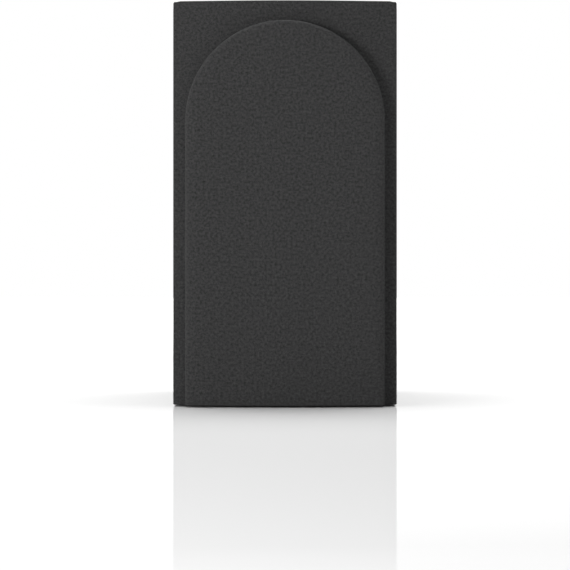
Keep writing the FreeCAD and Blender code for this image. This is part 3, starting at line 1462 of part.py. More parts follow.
def chokes():
    """The woofer's choke lies flat, and the tweeter's stands on edge so that the two don't couple."""
    big = board_piece("choke_woofer", "-30", "-12")
    turn(big, coil_outline("big_choke_bore", "big_choke_radius", "big_choke_height"))
    small = board_piece("choke_tweeter", "-36", "24", "small_choke_radius + part_gap", "side")
    turn(small, coil_outline("small_choke_bore", "small_choke_radius", "small_choke_height"))


def capacitors():
    """The tweeter filter's film capacitor and the woofer filter's electrolytic, lying side by side."""
    for label, y, radius, length in (
        ("capacitor_film", "-24", "film_radius", "film_length"),
        ("capacitor_electrolytic", "2", "can_radius", "can_length"),
    ):
        body = board_piece(label, "24", y, f"{radius} + part_gap", "side")
        pad(body, "XY_Plane", [circle(radius)], length, lift=f"(-{length} / 2)")
        soften(body, "winding_round", lambda edge: near(edge.BoundBox.ZLength, 0))


# Leads


def tube_along(points, radius):
    """A round lead along straight runs joined by arcs that touch both runs, as large as the runs allow."""
    edges, start = [], points[0]
    for before, corner, after in zip(points, points[1:], points[2:]):
        back, ahead = (before - corner).normalize(), (after - corner).normalize()
        half_turn = (math.pi - back.getAngle(ahead)) / 2
        cut = 0.45 * min((before - corner).Length, (after - corner).Length)
        bend = cut / math.tan(half_turn)
        centre = corner + (back + ahead).normalize() * (bend / math.cos(half_turn))
        middle = centre + (corner - centre).normalize() * bend
        first, last = corner + back * cut, corner + ahead * cut
        edges += [Part.LineSegment(start, first).toShape(), Part.Arc(first, middle, last).toShape()]
        start = last
    edges.append(Part.LineSegment(start, points[-1]).toShape())
    path = Part.Wire(edges)
    section = Part.Wire(Part.Circle(points[0], points[1] - points[0], radius).toShape())
    tube = path.makePipeShell([section], True, False)
    share = tube.Volume / (math.pi * radius**2 * path.Length)
    if not 0.99 < share < 1.01:
        raise ValueError(f"a lead has {share:.3f} of the volume that its length gives it")
    return tube


def lead_routes(side):
    """One lead of each pair: terminals to board, board to woofer and board to tweeter. side is -1 or 1."""
    front, rear = value(BAFFLE_FRONT), value(f"{BAFFLE_FRONT} + {REAR_FACE}")
    top = value(f"{BOARD_BASE} + board_thickness") + SOLDER
    board_front = front + value("board_back - board_length / 2")
    board_rear = front + value("board_back + board_length / 2")
    post_x = side * value(POST_HALF)
    stud_end = rear + value(f"{CUP_FLOOR} - cup_wall - stud_tail") - SOLDER
    terminal_z = value(TERMINAL_HEIGHT)
    tag_x = side * value("tag_half_spacing")
    tag_y = front + value("basket_depth + tag_reach") + SOLDER
    tag_z = value(f"{WOOFER_HEIGHT} - {TAG_RADIUS}")
    passing_x = value(f"{INNER_HALF} - brace_rail") / 2 + 8 + 3 * side
    passing_y = front + value("baffle_thickness + brace_depth / 2")
    brace_z = value("foot_height + brace_rise")
    rim = (value("small_magnet_radius") + value("small_yoke_radius")) / 2 + 0.1
    tweeter_z = value(TWEETER_HEIGHT) + 3 * side
    magnet_y = front + value(SMALL_MAGNET_BACK) + SOLDER
    from_posts = [
        Vector(post_x, stud_end, terminal_z),
        Vector(post_x, stud_end - 14, terminal_z),
        Vector(post_x + 4 * side, board_rear - 9, top + 26),
        Vector(post_x + 4 * side, board_rear - 9, top),
    ]
    to_woofer = [
        Vector(tag_x, tag_y, tag_z),
        Vector(tag_x, tag_y + 16, tag_z),
        Vector(tag_x + 2 * side, board_front + 7, top + 18),
        Vector(tag_x + 2 * side, board_front + 7, top),
    ]
    to_tweeter = [
        Vector(passing_x, board_rear - 5, top),
        Vector(passing_x, board_rear - 5, top + 42),
        Vector(passing_x, passing_y, brace_z - 44),
        Vector(passing_x, passing_y, brace_z + 24),
        Vector(rim, magnet_y + 30, tweeter_z),
        Vector(rim, magnet_y, tweeter_z),
    ]
    return from_posts, to_woofer, to_tweeter


def internal_leads():
    """Six insulated leads inside the cabinet, a red and a black one on each route."""
    tubes = [tube_along(route, value("lead_radius")) for side in (-1, 1) for route in lead_routes(side)]
    leads = DOC.addObject("Part::Feature", "internal_leads")
    leads.Label = "internal_leads"
    leads.Shape = Part.makeCompound(tubes)
    leads.Placement = FreeCAD.Placement()
    PIECES.append(leads)


def cabinet():
    upright_panel("side_panel_left", -1)
    upright_panel("side_panel_right", 1)
    flat_panel("top_panel", "cabinet_height", -1)
    bottom_panel()
    rear_panel()
    front_baffle()
    window_brace()
    damping_side_pads()
    damping_rear_pad()
    rubber_feet()


def grille():
    grille_frame()
    grille_cloth()
    grille_pegs()
    grille_sockets()


def check_and_write():
    """Stops if anything in the document failed, and writes each piece to its own file."""
    DOC.recompute()
    failed = [item.Name for item in DOC.Objects if {"Invalid", "Error"} & set(item.State)]
    sketches = [item for item in DOC.Objects if item.isDerivedFrom("Sketcher::SketchObject")]
    loose = [item.Name for item in sketches if item.solve()]
    shapes = [(item.Label, item.Shape) for item in PIECES]
    broken = [label for label, shape in shapes if shape.isNull() or not shape.isValid() or not shape.Solids]
    if failed or loose or broken:
        raise ValueError(f"failed: {failed}, sketches not solved: {loose}, bad shapes: {broken}")
    os.makedirs("parts", exist_ok=True)
    for item in PIECES:
        item.Shape.exportStep(os.path.join("parts", f"{item.Label}.step"))
    print(f"{len(PIECES)} pieces written")


def main():
    fill_sheet()
    cabinet()
    grille()
    woofer()
    tweeter()
    port_flare()
    port_tube()
    terminals()
    crossover()
    internal_leads()
    check_and_write()


main()
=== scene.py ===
import math

import bpy
from bpy.props import FloatProperty, FloatVectorProperty, PointerProperty
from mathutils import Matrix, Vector
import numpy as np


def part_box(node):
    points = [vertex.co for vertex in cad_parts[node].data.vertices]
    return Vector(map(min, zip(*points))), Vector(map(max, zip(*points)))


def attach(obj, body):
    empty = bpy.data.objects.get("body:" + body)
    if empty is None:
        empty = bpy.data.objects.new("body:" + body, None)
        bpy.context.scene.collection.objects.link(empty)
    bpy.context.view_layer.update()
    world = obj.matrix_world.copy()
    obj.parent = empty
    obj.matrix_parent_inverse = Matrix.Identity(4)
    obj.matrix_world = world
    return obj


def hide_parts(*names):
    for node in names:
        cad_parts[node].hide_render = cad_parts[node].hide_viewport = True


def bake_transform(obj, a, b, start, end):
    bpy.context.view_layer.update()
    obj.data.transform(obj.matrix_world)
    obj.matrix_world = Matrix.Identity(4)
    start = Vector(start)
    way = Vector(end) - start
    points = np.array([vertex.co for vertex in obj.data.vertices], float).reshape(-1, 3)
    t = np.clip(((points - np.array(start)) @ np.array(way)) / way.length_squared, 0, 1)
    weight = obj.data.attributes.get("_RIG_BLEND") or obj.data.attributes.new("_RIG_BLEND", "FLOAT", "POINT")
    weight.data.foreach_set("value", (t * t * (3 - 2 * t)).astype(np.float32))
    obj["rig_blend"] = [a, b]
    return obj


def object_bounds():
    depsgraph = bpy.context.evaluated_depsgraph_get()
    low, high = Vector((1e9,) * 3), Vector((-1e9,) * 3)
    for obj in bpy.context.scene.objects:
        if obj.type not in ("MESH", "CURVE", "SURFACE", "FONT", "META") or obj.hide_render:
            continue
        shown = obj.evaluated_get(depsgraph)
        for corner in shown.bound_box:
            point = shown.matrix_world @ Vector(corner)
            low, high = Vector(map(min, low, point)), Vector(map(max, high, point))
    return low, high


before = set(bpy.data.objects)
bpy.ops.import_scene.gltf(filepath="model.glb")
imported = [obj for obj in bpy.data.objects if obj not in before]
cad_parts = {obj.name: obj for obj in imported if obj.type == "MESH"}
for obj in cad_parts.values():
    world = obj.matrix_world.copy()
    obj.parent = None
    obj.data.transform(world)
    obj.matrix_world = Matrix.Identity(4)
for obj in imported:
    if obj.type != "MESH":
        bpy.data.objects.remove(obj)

bl_info = {
    "name": "Bookshelf speaker",
    "version": (1, 0, 0),
    "blender": (4, 5, 0),
    "location": "View3D > Sidebar > Speaker",
    "description": "Finishes a two-way bookshelf speaker: cloth grille, cabinet, drive units, port and terminals",
    "category": "Object",
}

MM = 0.001
CAD_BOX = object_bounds()
BAFFLE_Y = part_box("front_baffle")[0].y
WOOFER = (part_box("woofer_cone")[0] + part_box("woofer_cone")[1]) / 2
TWEETER = (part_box("tweeter_dome")[0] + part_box("tweeter_dome")[1]) / 2
WOOFER_AXIS = Vector((0, BAFFLE_Y, WOOFER.z))
TWEETER_AXIS = Vector((0, BAFFLE_Y, TWEETER.z))
FACING = (math.pi / 2, 0, 0)

# Points of a mesh closer than WELD are joined, and the cloth's rows closer than CLOTH_WELD.
WELD = 1e-6
CLOTH_WELD = 2e-5
ROLL_POINTS = 48
WOOFER_SEGMENTS = 128
TWEETER_SEGMENTS = 96
SMALL_INNER_LIP = 0.0002

# The cloth's rows: over the arch's shoulder, down its wall, round its foot, out over the plate (as shares of the
# way to the outline), back over the frame's edge and in behind it.
FLAT_MARGIN = 2.2
SHOULDER_STEPS = 7
WALL_STEPS = 3
FOOT_STEPS = 4
PLATE_SHARES = (0.12, 0.28, 0.46, 0.64, 0.80, 0.92, 1.0)
EDGE_ROWS = 5
TURN_IN_ROWS = 3
CLOTH_FRAMES = 20
FRONT_DEPTH = 0.002
OUTLINE_REACH = 0.0011
OUTLINE_FRONT_REACH = 0.0004

FOAM_STEPS = 8
CUTTER_DEPTH = 0.05
CUP_OVERLAP = 0.012

# The leads on the right are the tweeter's. A pair's middle is LEAD_INSET in from its outermost surface.
RIGHT_PAIR_START = 0.02
LEAD_INSET = 0.0043

# Each light: name, place, what it points at, size, and the setting that holds its power.
SPEAKER_MIDDLE = (0, 0, 0.18)
LIGHTS = (
    ("key_softbox", (-1.1, -1.55, 0.24), SPEAKER_MIDDLE, (0.5, 0.4), "key_power"),
    ("front_softbox", (0.5, -2.2, 0.3), SPEAKER_MIDDLE, (0.7, 0.5), "front_power"),
    ("top_softbox", (0.0, 0.35, 2.0), (0, 0.35, 0), (2.4, 2.0), "top_power"),
)
WALL_TOP, CEILING_START = 0.11, 0.17
FLOOR_SIZE = 30
GLOW_START, GLOW_FULL, GLOW_STRENGTH = 1.1, 2.6, 0.8


# Settings


def colour(name, description, default):
    return FloatVectorProperty(
        name=name, description=description, default=default, size=3, min=0, max=1, subtype="COLOR"
    )


def length(name, description, millimetres):
    return FloatProperty(
        name=name, description=description, default=millimetres * MM, min=0, unit="LENGTH", precision=5
    )


class StageSettings(bpy.types.PropertyGroup):
    """Where the camera stands and how bright the lights are."""

    camera_distance: length("Camera distance", "From the camera to the front of the grille", 1800)
    camera_height: length("Camera height", "Of the camera above the floor", 108)
    view_width: length("View width", "Width that the camera takes in at the grille's front", 501)
    key_power: FloatProperty(name="Key", description="Softbox at the left", default=22, unit="POWER")
    front_power: FloatProperty(name="Front", description="Softbox beside the camera", default=6, unit="POWER")
    top_power: FloatProperty(name="Top", description="Softbox overhead", default=74, unit="POWER")
    sky_strength: FloatProperty(name="Sky", description="Dim light from the room above", default=0.04)
    floor_colour: colour("Floor", "Pale studio floor", (0.93, 0.93, 0.93))


class GrilleSettings(bpy.types.PropertyGroup):
    """The grille's cloth and its moulded frame."""

    bow: length("Front bow", "How much further the middle stands out than the edges", 6.93)
    edge: length("Edge thickness", "Frame's thickness at its left and right edges", 8)
    relief: length("Arch relief", "How far the arch stands out", 14)
    half_width: length("Arch half width", "Half of the arch's width over the cloth", 88)
    drop: length("Arch drop", "From the grille's top to the arch's top", 18.9)
    shoulder: length("Shoulder radius", "Round front edge of the arch", 4.4)
    foot: length("Foot radius", "How the cloth rounds the inside corner at the arch's foot", 1.5)
    thickness: length("Cloth thickness", "Knitted cloth", 0.4)
    turn_in: length("Turn-in", "Cloth glued on to the back of the frame", 9)
    rim: length("Glued rim", "Width of the arch's rim that the cloth is glued to", 9.8)
    bottom_rail: length("Bottom rail", "Height of the frame below its opening", 13)
    step: length("Mesh step", "Spacing of the cloth's mesh", 3)
    wales: FloatProperty(name="Wales", description="Columns of stitches per metre", default=1150)
    courses: FloatProperty(name="Courses", description="Rows of stitches per metre", default=1300)
    cloth_colour: colour("Cloth", "Charcoal acoustic knit", (0.0360, 0.0360, 0.0363))
    frame_colour: colour("Frame", "Black moulding behind the cloth", (0.013, 0.013, 0.014))


class CabinetSettings(bpy.types.PropertyGroup):
    """The wrapped carcass, baffle and rear panel."""

    vinyl_colour: colour("Vinyl", "Black ash vinyl", (0.012, 0.0115, 0.011))
    grain_colour: colour("Grain", "Lighter streaks in the vinyl's grain", (0.040, 0.038, 0.036))
    paint_colour: colour("Paint", "Black paint on the baffle and rear panel", (0.014, 0.014, 0.0145))
    fibre_colour: colour("Fibreboard", "Bare fibreboard inside", (0.42, 0.29, 0.17))
    rubber_colour: colour("Feet", "Rubber feet", (0.018, 0.018, 0.018))
    foam_colour: colour("Foam", "Open-cell damping foam", (0.070, 0.072, 0.078))
    foam_pitch: length("Foam pitch", "From one foam peak to the next", 24)
    foam_base: length("Foam base", "Solid foam under the valleys", 4.5)


class DriverSettings(bpy.types.PropertyGroup):
    """The woofer and the tweeter."""

    roll_inner: length("Roll inside", "Where the woofer's roll meets the cone", 56)
    roll_outer: length("Roll outside", "Where the woofer's roll meets the basket", 67)
    roll_lip: length("Roll lip", "Flat lip glued to the basket", 6.5)
    cone_lip: length("Cone lip", "Flat lip glued to the cone", 2.5)
    rubber: length("Rubber", "Thickness of the woofer's roll", 0.9)
    small_inner: length("Small roll inside", "Where the tweeter's roll meets the dome", 12.8)
    small_outer: length("Small roll outside", "Where the tweeter's roll meets its lip", 16)
    small_lip: length("Small roll lip", "Lip clamped behind the faceplate", 3.5)
    silk: length("Silk", "Thickness of the tweeter's roll", 0.4)
    cone_colour: colour("Cone", "Coated paper pulp", (0.020, 0.020, 0.021))
    rubber_colour: colour("Surround", "Rubber surround", (0.012, 0.012, 0.012))
    silk_colour: colour("Silk", "Coated silk dome", (0.022, 0.021, 0.024))
    spider_colour: colour("Spider", "Resin-dipped cloth", (0.50, 0.30, 0.085))
    basket_colour: colour("Basket", "Textured powder coat", (0.018, 0.018, 0.019))
    plastic_colour: colour("Faceplate", "Satin black moulding", (0.016, 0.016, 0.017))
    ferrite_colour: colour("Ferrite", "Sintered ferrite", (0.045, 0.045, 0.048))
    zinc_colour: colour("Zinc", "Bright zinc plate", (0.60, 0.61, 0.62))
    copper_colour: colour("Copper", "Enamelled copper wire", (0.60, 0.19, 0.055))
    film_colour: colour("Film", "Amber polyimide film", (0.42, 0.14, 0.015))


class TerminalSettings(bpy.types.PropertyGroup):
    """The binding posts, crossover and leads."""

    red: colour("Red", "Positive post and lead", (0.42, 0.008, 0.010))
    black: colour("Black", "Negative post and lead", (0.010, 0.010, 0.011))
    gold: colour("Gold", "Gold plate", (0.86, 0.57, 0.20))
    board: colour("Board", "Circuit board", (0.012, 0.085, 0.035))
    yellow: colour("Film capacitor", "Yellow wrap", (0.70, 0.42, 0.03))
    blue: colour("Electrolytic", "Blue sleeve", (0.015, 0.04, 0.20))
    cement: colour("Cement", "Resistor's white cement", (0.66, 0.64, 0.58))
    wire_pitch: length("Wire pitch", "Spacing of the chokes' turns", 1.0)


# Node trees


class Tree:
    """Adds nodes to a material's or a group's tree. What is given to an input is a value or a socket."""

    def __init__(self, tree):
        self.tree = tree

    def add(self, kind, inputs=None, **settings):
        node = self.tree.nodes.new(kind)
        for name, setting in settings.items():
            setattr(node, name, setting)
        for name, given in (inputs or {}).items():
            self.feed(node.inputs[name], given)
        return node

    def feed(self, socket, given):
        if isinstance(given, bpy.types.NodeSocket):
            self.tree.links.new(given, socket)
        else:
            socket.default_value = given

    def math(self, operation, first, second=0.0, third=0.0, clamp=False):
        return self.add(
            "ShaderNodeMath", {0: first, 1: second, 2: third}, operation=operation, use_clamp=clamp
        ).outputs[0]

    def mix(self, factor, first, second, blend="MIX"):
        node = self.add("ShaderNodeMix", data_type="RGBA", blend_type=blend)
        for socket, given in zip((node.inputs[0], node.inputs[6], node.inputs[7]), (factor, first, second)):
            self.feed(socket, given)
        return node.outputs[2]

    def between(self, given, low, high, to_low=0.0, to_high=1.0):
        return self.add(
            "ShaderNodeMapRange",
            {"Value": given, "From Min": low, "From Max": high, "To Min": to_low, "To Max": to_high},
        ).outputs["Result"]

    def noise(self, vector, scale, detail, roughness):
        return self.add(
            "ShaderNodeTexNoise",
            {"Vector": vector, "Scale": scale, "Detail": detail, "Roughness": roughness},
        ).outputs["Fac"]


def opaque(rgb):
    """A colour with full alpha."""
    return (*rgb, 1.0)


SOCKETS = {"vector": "NodeSocketVector", "value": "NodeSocketFloat", "colour": "NodeSocketColor"}


def group(name, inputs, outputs, fill):
    """A shader node group, built once. fill gets the tree and the input sockets, and returns the outputs."""
    made = bpy.data.node_groups.get(name)
    if made:
        return made
    made = bpy.data.node_groups.new(name, "ShaderNodeTree")
    for label, (kind, default) in inputs.items():
        socket = made.interface.new_socket(label, in_out="INPUT", socket_type=SOCKETS[kind])
        if default is not None:
            socket.default_value = default
    for label, kind in outputs.items():
        made.interface.new_socket(label, in_out="OUTPUT", socket_type=SOCKETS[kind])
    tree = Tree(made)
    given = tree.add("NodeGroupInput")
    ends = tree.add("NodeGroupOutput")
    for label, socket in fill(tree, given.outputs).items():
        tree.feed(ends.inputs[label], socket)
    return made


def mottle_group():
    """Slow changes of shade and gloss over a surface, as handling and moulding leave."""

    def fill(tree, given):
        large = tree.noise(given["Vector"], given["Scale"], 4.0, 0.6)
        fine = tree.noise(given["Vector"], tree.math("MULTIPLY", given["Scale"], 9.0), 3.0, 0.7)
        mask = tree.math("ADD", tree.math("MULTIPLY", large, 0.7), tree.math("MULTIPLY", fine, 0.3))
        spread = tree.between(mask, 0.35, 0.65, -1.0, 1.0)
        shade = tree.math("MULTIPLY_ADD", spread, given["Shade change"], 1.0)
        tint = tree.mix(1.0, given["Colour"], shade, "MULTIPLY")
        gloss = tree.math("MULTIPLY_ADD", spread, given["Gloss change"], given["Roughness"])
        return {"Colour": tint, "Roughness": gloss}

    return group(
        "Mottle",
        {
            "Vector": ("vector", None),
            "Scale": ("value", 12.0),
            "Colour": ("colour", (0.5, 0.5, 0.5, 1)),
            "Shade change": ("value", 0.1),
            "Roughness": ("value", 0.5),
            "Gloss change": ("value", 0.05),
        },
        {"Colour": "colour", "Roughness": "value"},
        fill,
    )


def grit_group():
    """Fine grit: spark-eroded mouldings, powder coat, paper pulp, rubber bloom and cast cement."""

    def fill(tree, given):
        cells = tree.add(
            "ShaderNodeTexVoronoi",
            {"Vector": given["Vector"], "Scale": given["Scale"]},
            feature="SMOOTH_F1",
        ).outputs["Distance"]
        fuzz = tree.noise(given["Vector"], tree.math("MULTIPLY", given["Scale"], 0.6), 3.0, 0.6)
        height = tree.math("ADD", tree.math("MULTIPLY", cells, 0.6), tree.math("MULTIPLY", fuzz, 0.8))
        return {"Height": height}

    return group(
        "Grit",
        {"Vector": ("vector", None), "Scale": ("value", 900.0)},
        {"Height": "value"},
        fill,
    )


def knit_group():
    """A warp knit: columns of slanting loops, every second row slanting the other way, with open pores."""

    def fill(tree, given):
        parts = tree.add("ShaderNodeSeparateXYZ", {0: given["Vector"]}).outputs
        across = tree.math("MULTIPLY", parts["X"], given["Wales"])
        along = tree.math("MULTIPLY", parts["Y"], given["Courses"])
        lean = tree.math("PINGPONG", along, 1.0)
        wale = tree.math("FRACT", tree.math("MULTIPLY_ADD", lean, 0.45, across))
        loop = tree.math("SINE", tree.math("MULTIPLY", wale, math.pi))
        row = tree.math("ABSOLUTE", tree.math("SINE", tree.math("MULTIPLY", along, math.pi)))
        thread = tree.math("MULTIPLY", loop, tree.math("MULTIPLY_ADD", row, 0.45, 0.55))
        fuzz = tree.noise(given["Vector"], 5200.0, 2.0, 0.7)
        height = tree.math("MULTIPLY_ADD", fuzz, 0.35, thread)
        pore = tree.between(thread, 0.30, 0.62)
        uneven = tree.noise(given["Vector"], 440.0, 2.0, 0.75)
        light = tree.math("MULTIPLY_ADD", tree.between(uneven, 0.3, 0.7, -1.0, 1.0), given["Unevenness"], 1.0)
        lit = tree.math("MULTIPLY", light, tree.math("MULTIPLY_ADD", pore, 0.55, 0.45))
        return {"Colour": tree.mix(1.0, given["Colour"], lit, "MULTIPLY"), "Height": height}

    return group(
        "Knit",
        {
            "Vector": ("vector", None),
            "Wales": ("value", 1100.0),
            "Courses": ("value", 1300.0),
            "Colour": ("colour", (0.05, 0.05, 0.05, 1)),
            "Unevenness": ("value", 0.08),
        },
        {"Colour": "colour", "Height": "value"},
        fill,
    )


def ash_group():
    """Black ash: long streaks and open pores along one axis, pressed into vinyl."""

    def fill(tree, given):
        along = tree.add("ShaderNodeMapping", {"Vector": given["Vector"], "Scale": (1.0, 1.0, 0.045)}).outputs[0]
        sway = tree.noise(along, 14.0, 2.0, 0.5)
        bent = tree.add(
            "ShaderNodeVectorMath",
            {0: along, 1: tree.add("ShaderNodeCombineXYZ", {0: tree.math("MULTIPLY", sway, 0.02)}).outputs[0]},
            operation="ADD",
        ).outputs[0]
        streaks = tree.noise(bent, 480.0, 5.0, 0.68)
        pores = tree.noise(bent, 1250.0, 2.0, 0.55)
        open_pore = tree.between(pores, 0.56, 0.68)
        band = tree.between(tree.noise(bent, 60.0, 2.0, 0.5), 0.35, 0.7)
        tone = tree.math("MULTIPLY", tree.between(streaks, 0.42, 0.72), tree.math("MULTIPLY_ADD", band, 0.7, 0.3))
        mixed = tree.mix(tone, given["Colour"], given["Grain"])
        dark = tree.mix(tree.math("MULTIPLY", open_pore, 0.7), mixed, (0.002, 0.002, 0.002, 1))
        height = tree.math("SUBTRACT", tree.math("MULTIPLY", streaks, 0.35), open_pore)
        return {"Colour": dark, "Height": height, "Pores": open_pore}

    return group(
        "Ash grain",
        {"Vector": ("vector", None), "Colour": ("colour", None), "Grain": ("colour", None)},
        {"Colour": "colour", "Height": "value", "Pores": "value"},
        fill,
    )


def rings_group():
    """Rings about the Z axis, spaced evenly both outwards and along it: turns of wire, or lathe marks."""

    def fill(tree, given):
        parts = tree.add("ShaderNodeSeparateXYZ", {0: given["Vector"]}).outputs
        squares = [tree.math("MULTIPLY", parts[axis], parts[axis]) for axis in ("X", "Y")]
        radius = tree.math("SQRT", tree.math("ADD", *squares))
        waves = []
        for where in (radius, parts["Z"]):
            turns = tree.math("DIVIDE", where, given["Pitch"])
            waves.append(tree.math("ABSOLUTE", tree.math("SINE", tree.math("MULTIPLY", turns, math.pi))))
        return {"Height": tree.math("MULTIPLY", *waves)}

    return group(
        "Rings",
        {"Vector": ("vector", None), "Pitch": ("value", 0.001)},
        {"Height": "value"},
        fill,
    )


def dust_group():
    """A thin film of dust on what faces up, thicker in patches."""

    def fill(tree, given):
        up = tree.add("ShaderNodeSeparateXYZ", {0: given["Normal"]}).outputs["Z"]
        facing = tree.between(up, 0.55, 1.0)
        patch = tree.between(tree.noise(given["Vector"], 26.0, 5.0, 0.7), 0.35, 0.8)
        speck = tree.between(tree.noise(given["Vector"], 1400.0, 1.0, 0.5), 0.66, 0.74)
        film = tree.math("MULTIPLY_ADD", patch, 0.7, tree.math("MULTIPLY", speck, 0.8))
        amount = tree.math("MULTIPLY", tree.math("MULTIPLY", facing, film), given["Amount"], clamp=True)
        return {"Colour": tree.mix(amount, given["Colour"], (0.32, 0.31, 0.29, 1)), "Mask": amount}

    return group(
        "Dust",
        {
            "Vector": ("vector", None),
            "Normal": ("vector", None),
            "Colour": ("colour", None),
            "Amount": ("value", 0.1),
        },
        {"Colour": "colour", "Mask": "value"},
        fill,
    )


# Materials


class Finish:
    """A material with a Principled BSDF, and the coordinates that its textures read."""

    def __init__(self, name, centre=(0, 0, 0), turned=(0, 0, 0), uv=None, **shader):
        self.material = bpy.data.materials.new(name)
        self.material.use_nodes = True
        self.tree = Tree(self.material.node_tree)
        self.shader = self.material.node_tree.nodes["Principled BSDF"]
        for label, setting in shader.items():
            self.shader.inputs[label.replace("_", " ")].default_value = setting
        if uv:
            self.vector = self.tree.add("ShaderNodeUVMap", uv_map=uv).outputs["UV"]
            return
        place = self.tree.add("ShaderNodeTexCoord").outputs["Object"]
        centred = self.tree.add("ShaderNodeVectorMath", {0: place, 1: tuple(centre)}, operation="SUBTRACT")
        self.vector = self.tree.add(
            "ShaderNodeMapping", {"Vector": centred.outputs[0], "Rotation": turned}
        ).outputs[0]

    def use(self, made, **inputs):
        """Places a node group in the material and returns its outputs."""
        node = self.tree.add("ShaderNodeGroup", node_tree=made)
        self.tree.feed(node.inputs["Vector"], self.vector)
        for label, given in inputs.items():
            self.tree.feed(node.inputs[label.replace("_", " ")], given)
        return node.outputs

    def paint(self, **sockets):
        """Feeds the shader's inputs. An underscore stands for a space in an input's name."""
        for label, given in sockets.items():
            self.tree.feed(self.shader.inputs[label.replace("_", " ")], given)

    def emboss(self, height, depth):
        """Presses a height map in, to a depth in metres."""
        bump = self.tree.add("ShaderNodeBump", {"Height": height, "Distance": depth, "Strength": 1.0})
        self.paint(Normal=bump.outputs["Normal"])


def moulded(name, rgb, roughness, grit=1500.0, depth=0.00004, shade=0.12, coat=0.0):
    """Plastic, rubber, paint, powder coat or plate: a mottled colour with fine grit."""
    finish = Finish(name)
    mottle = finish.use(
        mottle_group(), Scale=14.0, Colour=opaque(rgb), Shade_change=shade, Roughness=roughness, Gloss_change=0.06
    )
    finish.paint(Base_Color=mottle["Colour"], Roughness=mottle["Roughness"])
    if coat:
        finish.shader.inputs["Coat Weight"].default_value = coat
    finish.emboss(finish.use(grit_group(), Scale=grit)["Height"], depth)
    return finish.material


def plated(name, rgb, roughness, centre, turned, pitch=0.0002, depth=0.000004):
    """Plated or bare metal with faint lathe marks."""
    finish = Finish(name, centre, turned, Metallic=1.0)
    mottle = finish.use(
        mottle_group(), Scale=40.0, Colour=opaque(rgb), Shade_change=0.08, Roughness=roughness, Gloss_change=0.08
    )
    finish.paint(Base_Color=mottle["Colour"], Roughness=mottle["Roughness"])
    finish.emboss(finish.use(rings_group(), Pitch=pitch)["Height"], depth)
    return finish.material


def wound(name, rgb, centre, turned, pitch):
    """Turns of enamelled wire, with painted shade darkening the grooves between turns."""
    finish = Finish(name, centre, turned, Metallic=0.85, Coat_Weight=0.6)
    rings = finish.use(rings_group(), Pitch=pitch)
    mottle = finish.use(
        mottle_group(), Scale=60.0, Colour=opaque(rgb), Shade_change=0.15, Roughness=0.3, Gloss_change=0.06
    )
    # Painted shade: the wire's colour is darkened in the grooves between the turns, where shade falls.
    gap = finish.tree.between(rings["Height"], 0.05, 0.5, 0.25, 1.0)
    finish.paint(
        Base_Color=finish.tree.mix(1.0, mottle["Colour"], gap, "MULTIPLY"), Roughness=mottle["Roughness"]
    )
    finish.emboss(rings["Height"], pitch * 0.4)
    return finish.material


def ash_vinyl(name, settings, turned):
    """Black ash vinyl whose grain runs along the panel."""
    finish = Finish(name, (0, 0, 0), turned, IOR=1.48)
    ash = finish.use(ash_group(), Colour=opaque(settings.vinyl_colour), Grain=opaque(settings.grain_colour))
    normal = finish.tree.add("ShaderNodeNewGeometry").outputs["Normal"]
    dust = finish.use(dust_group(), Normal=normal, Colour=ash["Colour"], Amount=0.10)
    mottle = finish.use(mottle_group(), Scale=9.0, Roughness=0.44, Gloss_change=0.04)
    rough = finish.tree.math("MULTIPLY_ADD", ash["Pores"], 0.2, mottle["Roughness"])
    finish.paint(
        Base_Color=dust["Colour"],
        Roughness=finish.tree.math("MULTIPLY_ADD", dust["Mask"], 0.4, rough, clamp=True),
    )
    finish.emboss(ash["Height"], 0.00003)
    return finish.material


def fibreboard(name, rgb):
    """Bare fibreboard: pressed fibres in two shades."""
    finish = Finish(name)
    mottle = finish.use(mottle_group(), Scale=35.0, Colour=opaque(rgb), Shade_change=0.16, Roughness=0.85)
    fibres = finish.tree.noise(finish.vector, 1800.0, 3.0, 0.7)
    tint = finish.tree.mix(
        finish.tree.between(fibres, 0.4, 0.7), mottle["Colour"], (rgb[0] * 0.6, rgb[1] * 0.55, rgb[2] * 0.5, 1)
    )
    finish.paint(Base_Color=tint, Roughness=mottle["Roughness"])
    finish.emboss(fibres, 0.00006)
    return finish.material


def knitted(name, settings):
    """The grille's knit, read from the cloth's own flat coordinates."""
    finish = Finish(name, uv="flat_cloth", Sheen_Weight=0.03, Sheen_Roughness=0.6, Specular_IOR_Level=0.12)
    knit = finish.use(
        knit_group(),
        Wales=settings.wales,
        Courses=settings.courses,
        Colour=opaque(settings.cloth_colour),
        Unevenness=0.50,
    )
    finish.paint(Base_Color=knit["Colour"], Roughness=finish.tree.between(knit["Height"], 0.2, 1.2, 0.95, 0.82))
    finish.emboss(knit["Height"], 0.00022)
    return finish.material


def dipped_cloth(name, rgb, threads, centre, depth, **shader):
    """Woven cloth dipped in resin or lacquer, with square threads, and painted shade darkening the hollows of the
    weave.
    """
    finish = Finish(name, centre, **shader)
    parts = finish.tree.add("ShaderNodeSeparateXYZ", {0: finish.vector}).outputs
    waves = [
        finish.tree.math("SINE", finish.tree.math("MULTIPLY", where, threads * 2 * math.pi))
        for where in (parts["X"], parts["Z"])
    ]
    weave = finish.tree.math("MULTIPLY", waves[0], waves[1])
    mottle = finish.use(mottle_group(), Scale=50.0, Colour=opaque(rgb), Shade_change=0.12, Roughness=0.55)
    # Painted shade: the colour is darkened in the low parts of the weave, where shade falls.
    dark = finish.tree.between(weave, -1.0, 0.6, 0.72, 1.0)
    finish.paint(Base_Color=finish.tree.mix(1.0, mottle["Colour"], dark, "MULTIPLY"), Roughness=mottle["Roughness"])
    finish.emboss(weave, depth)
    return finish.material


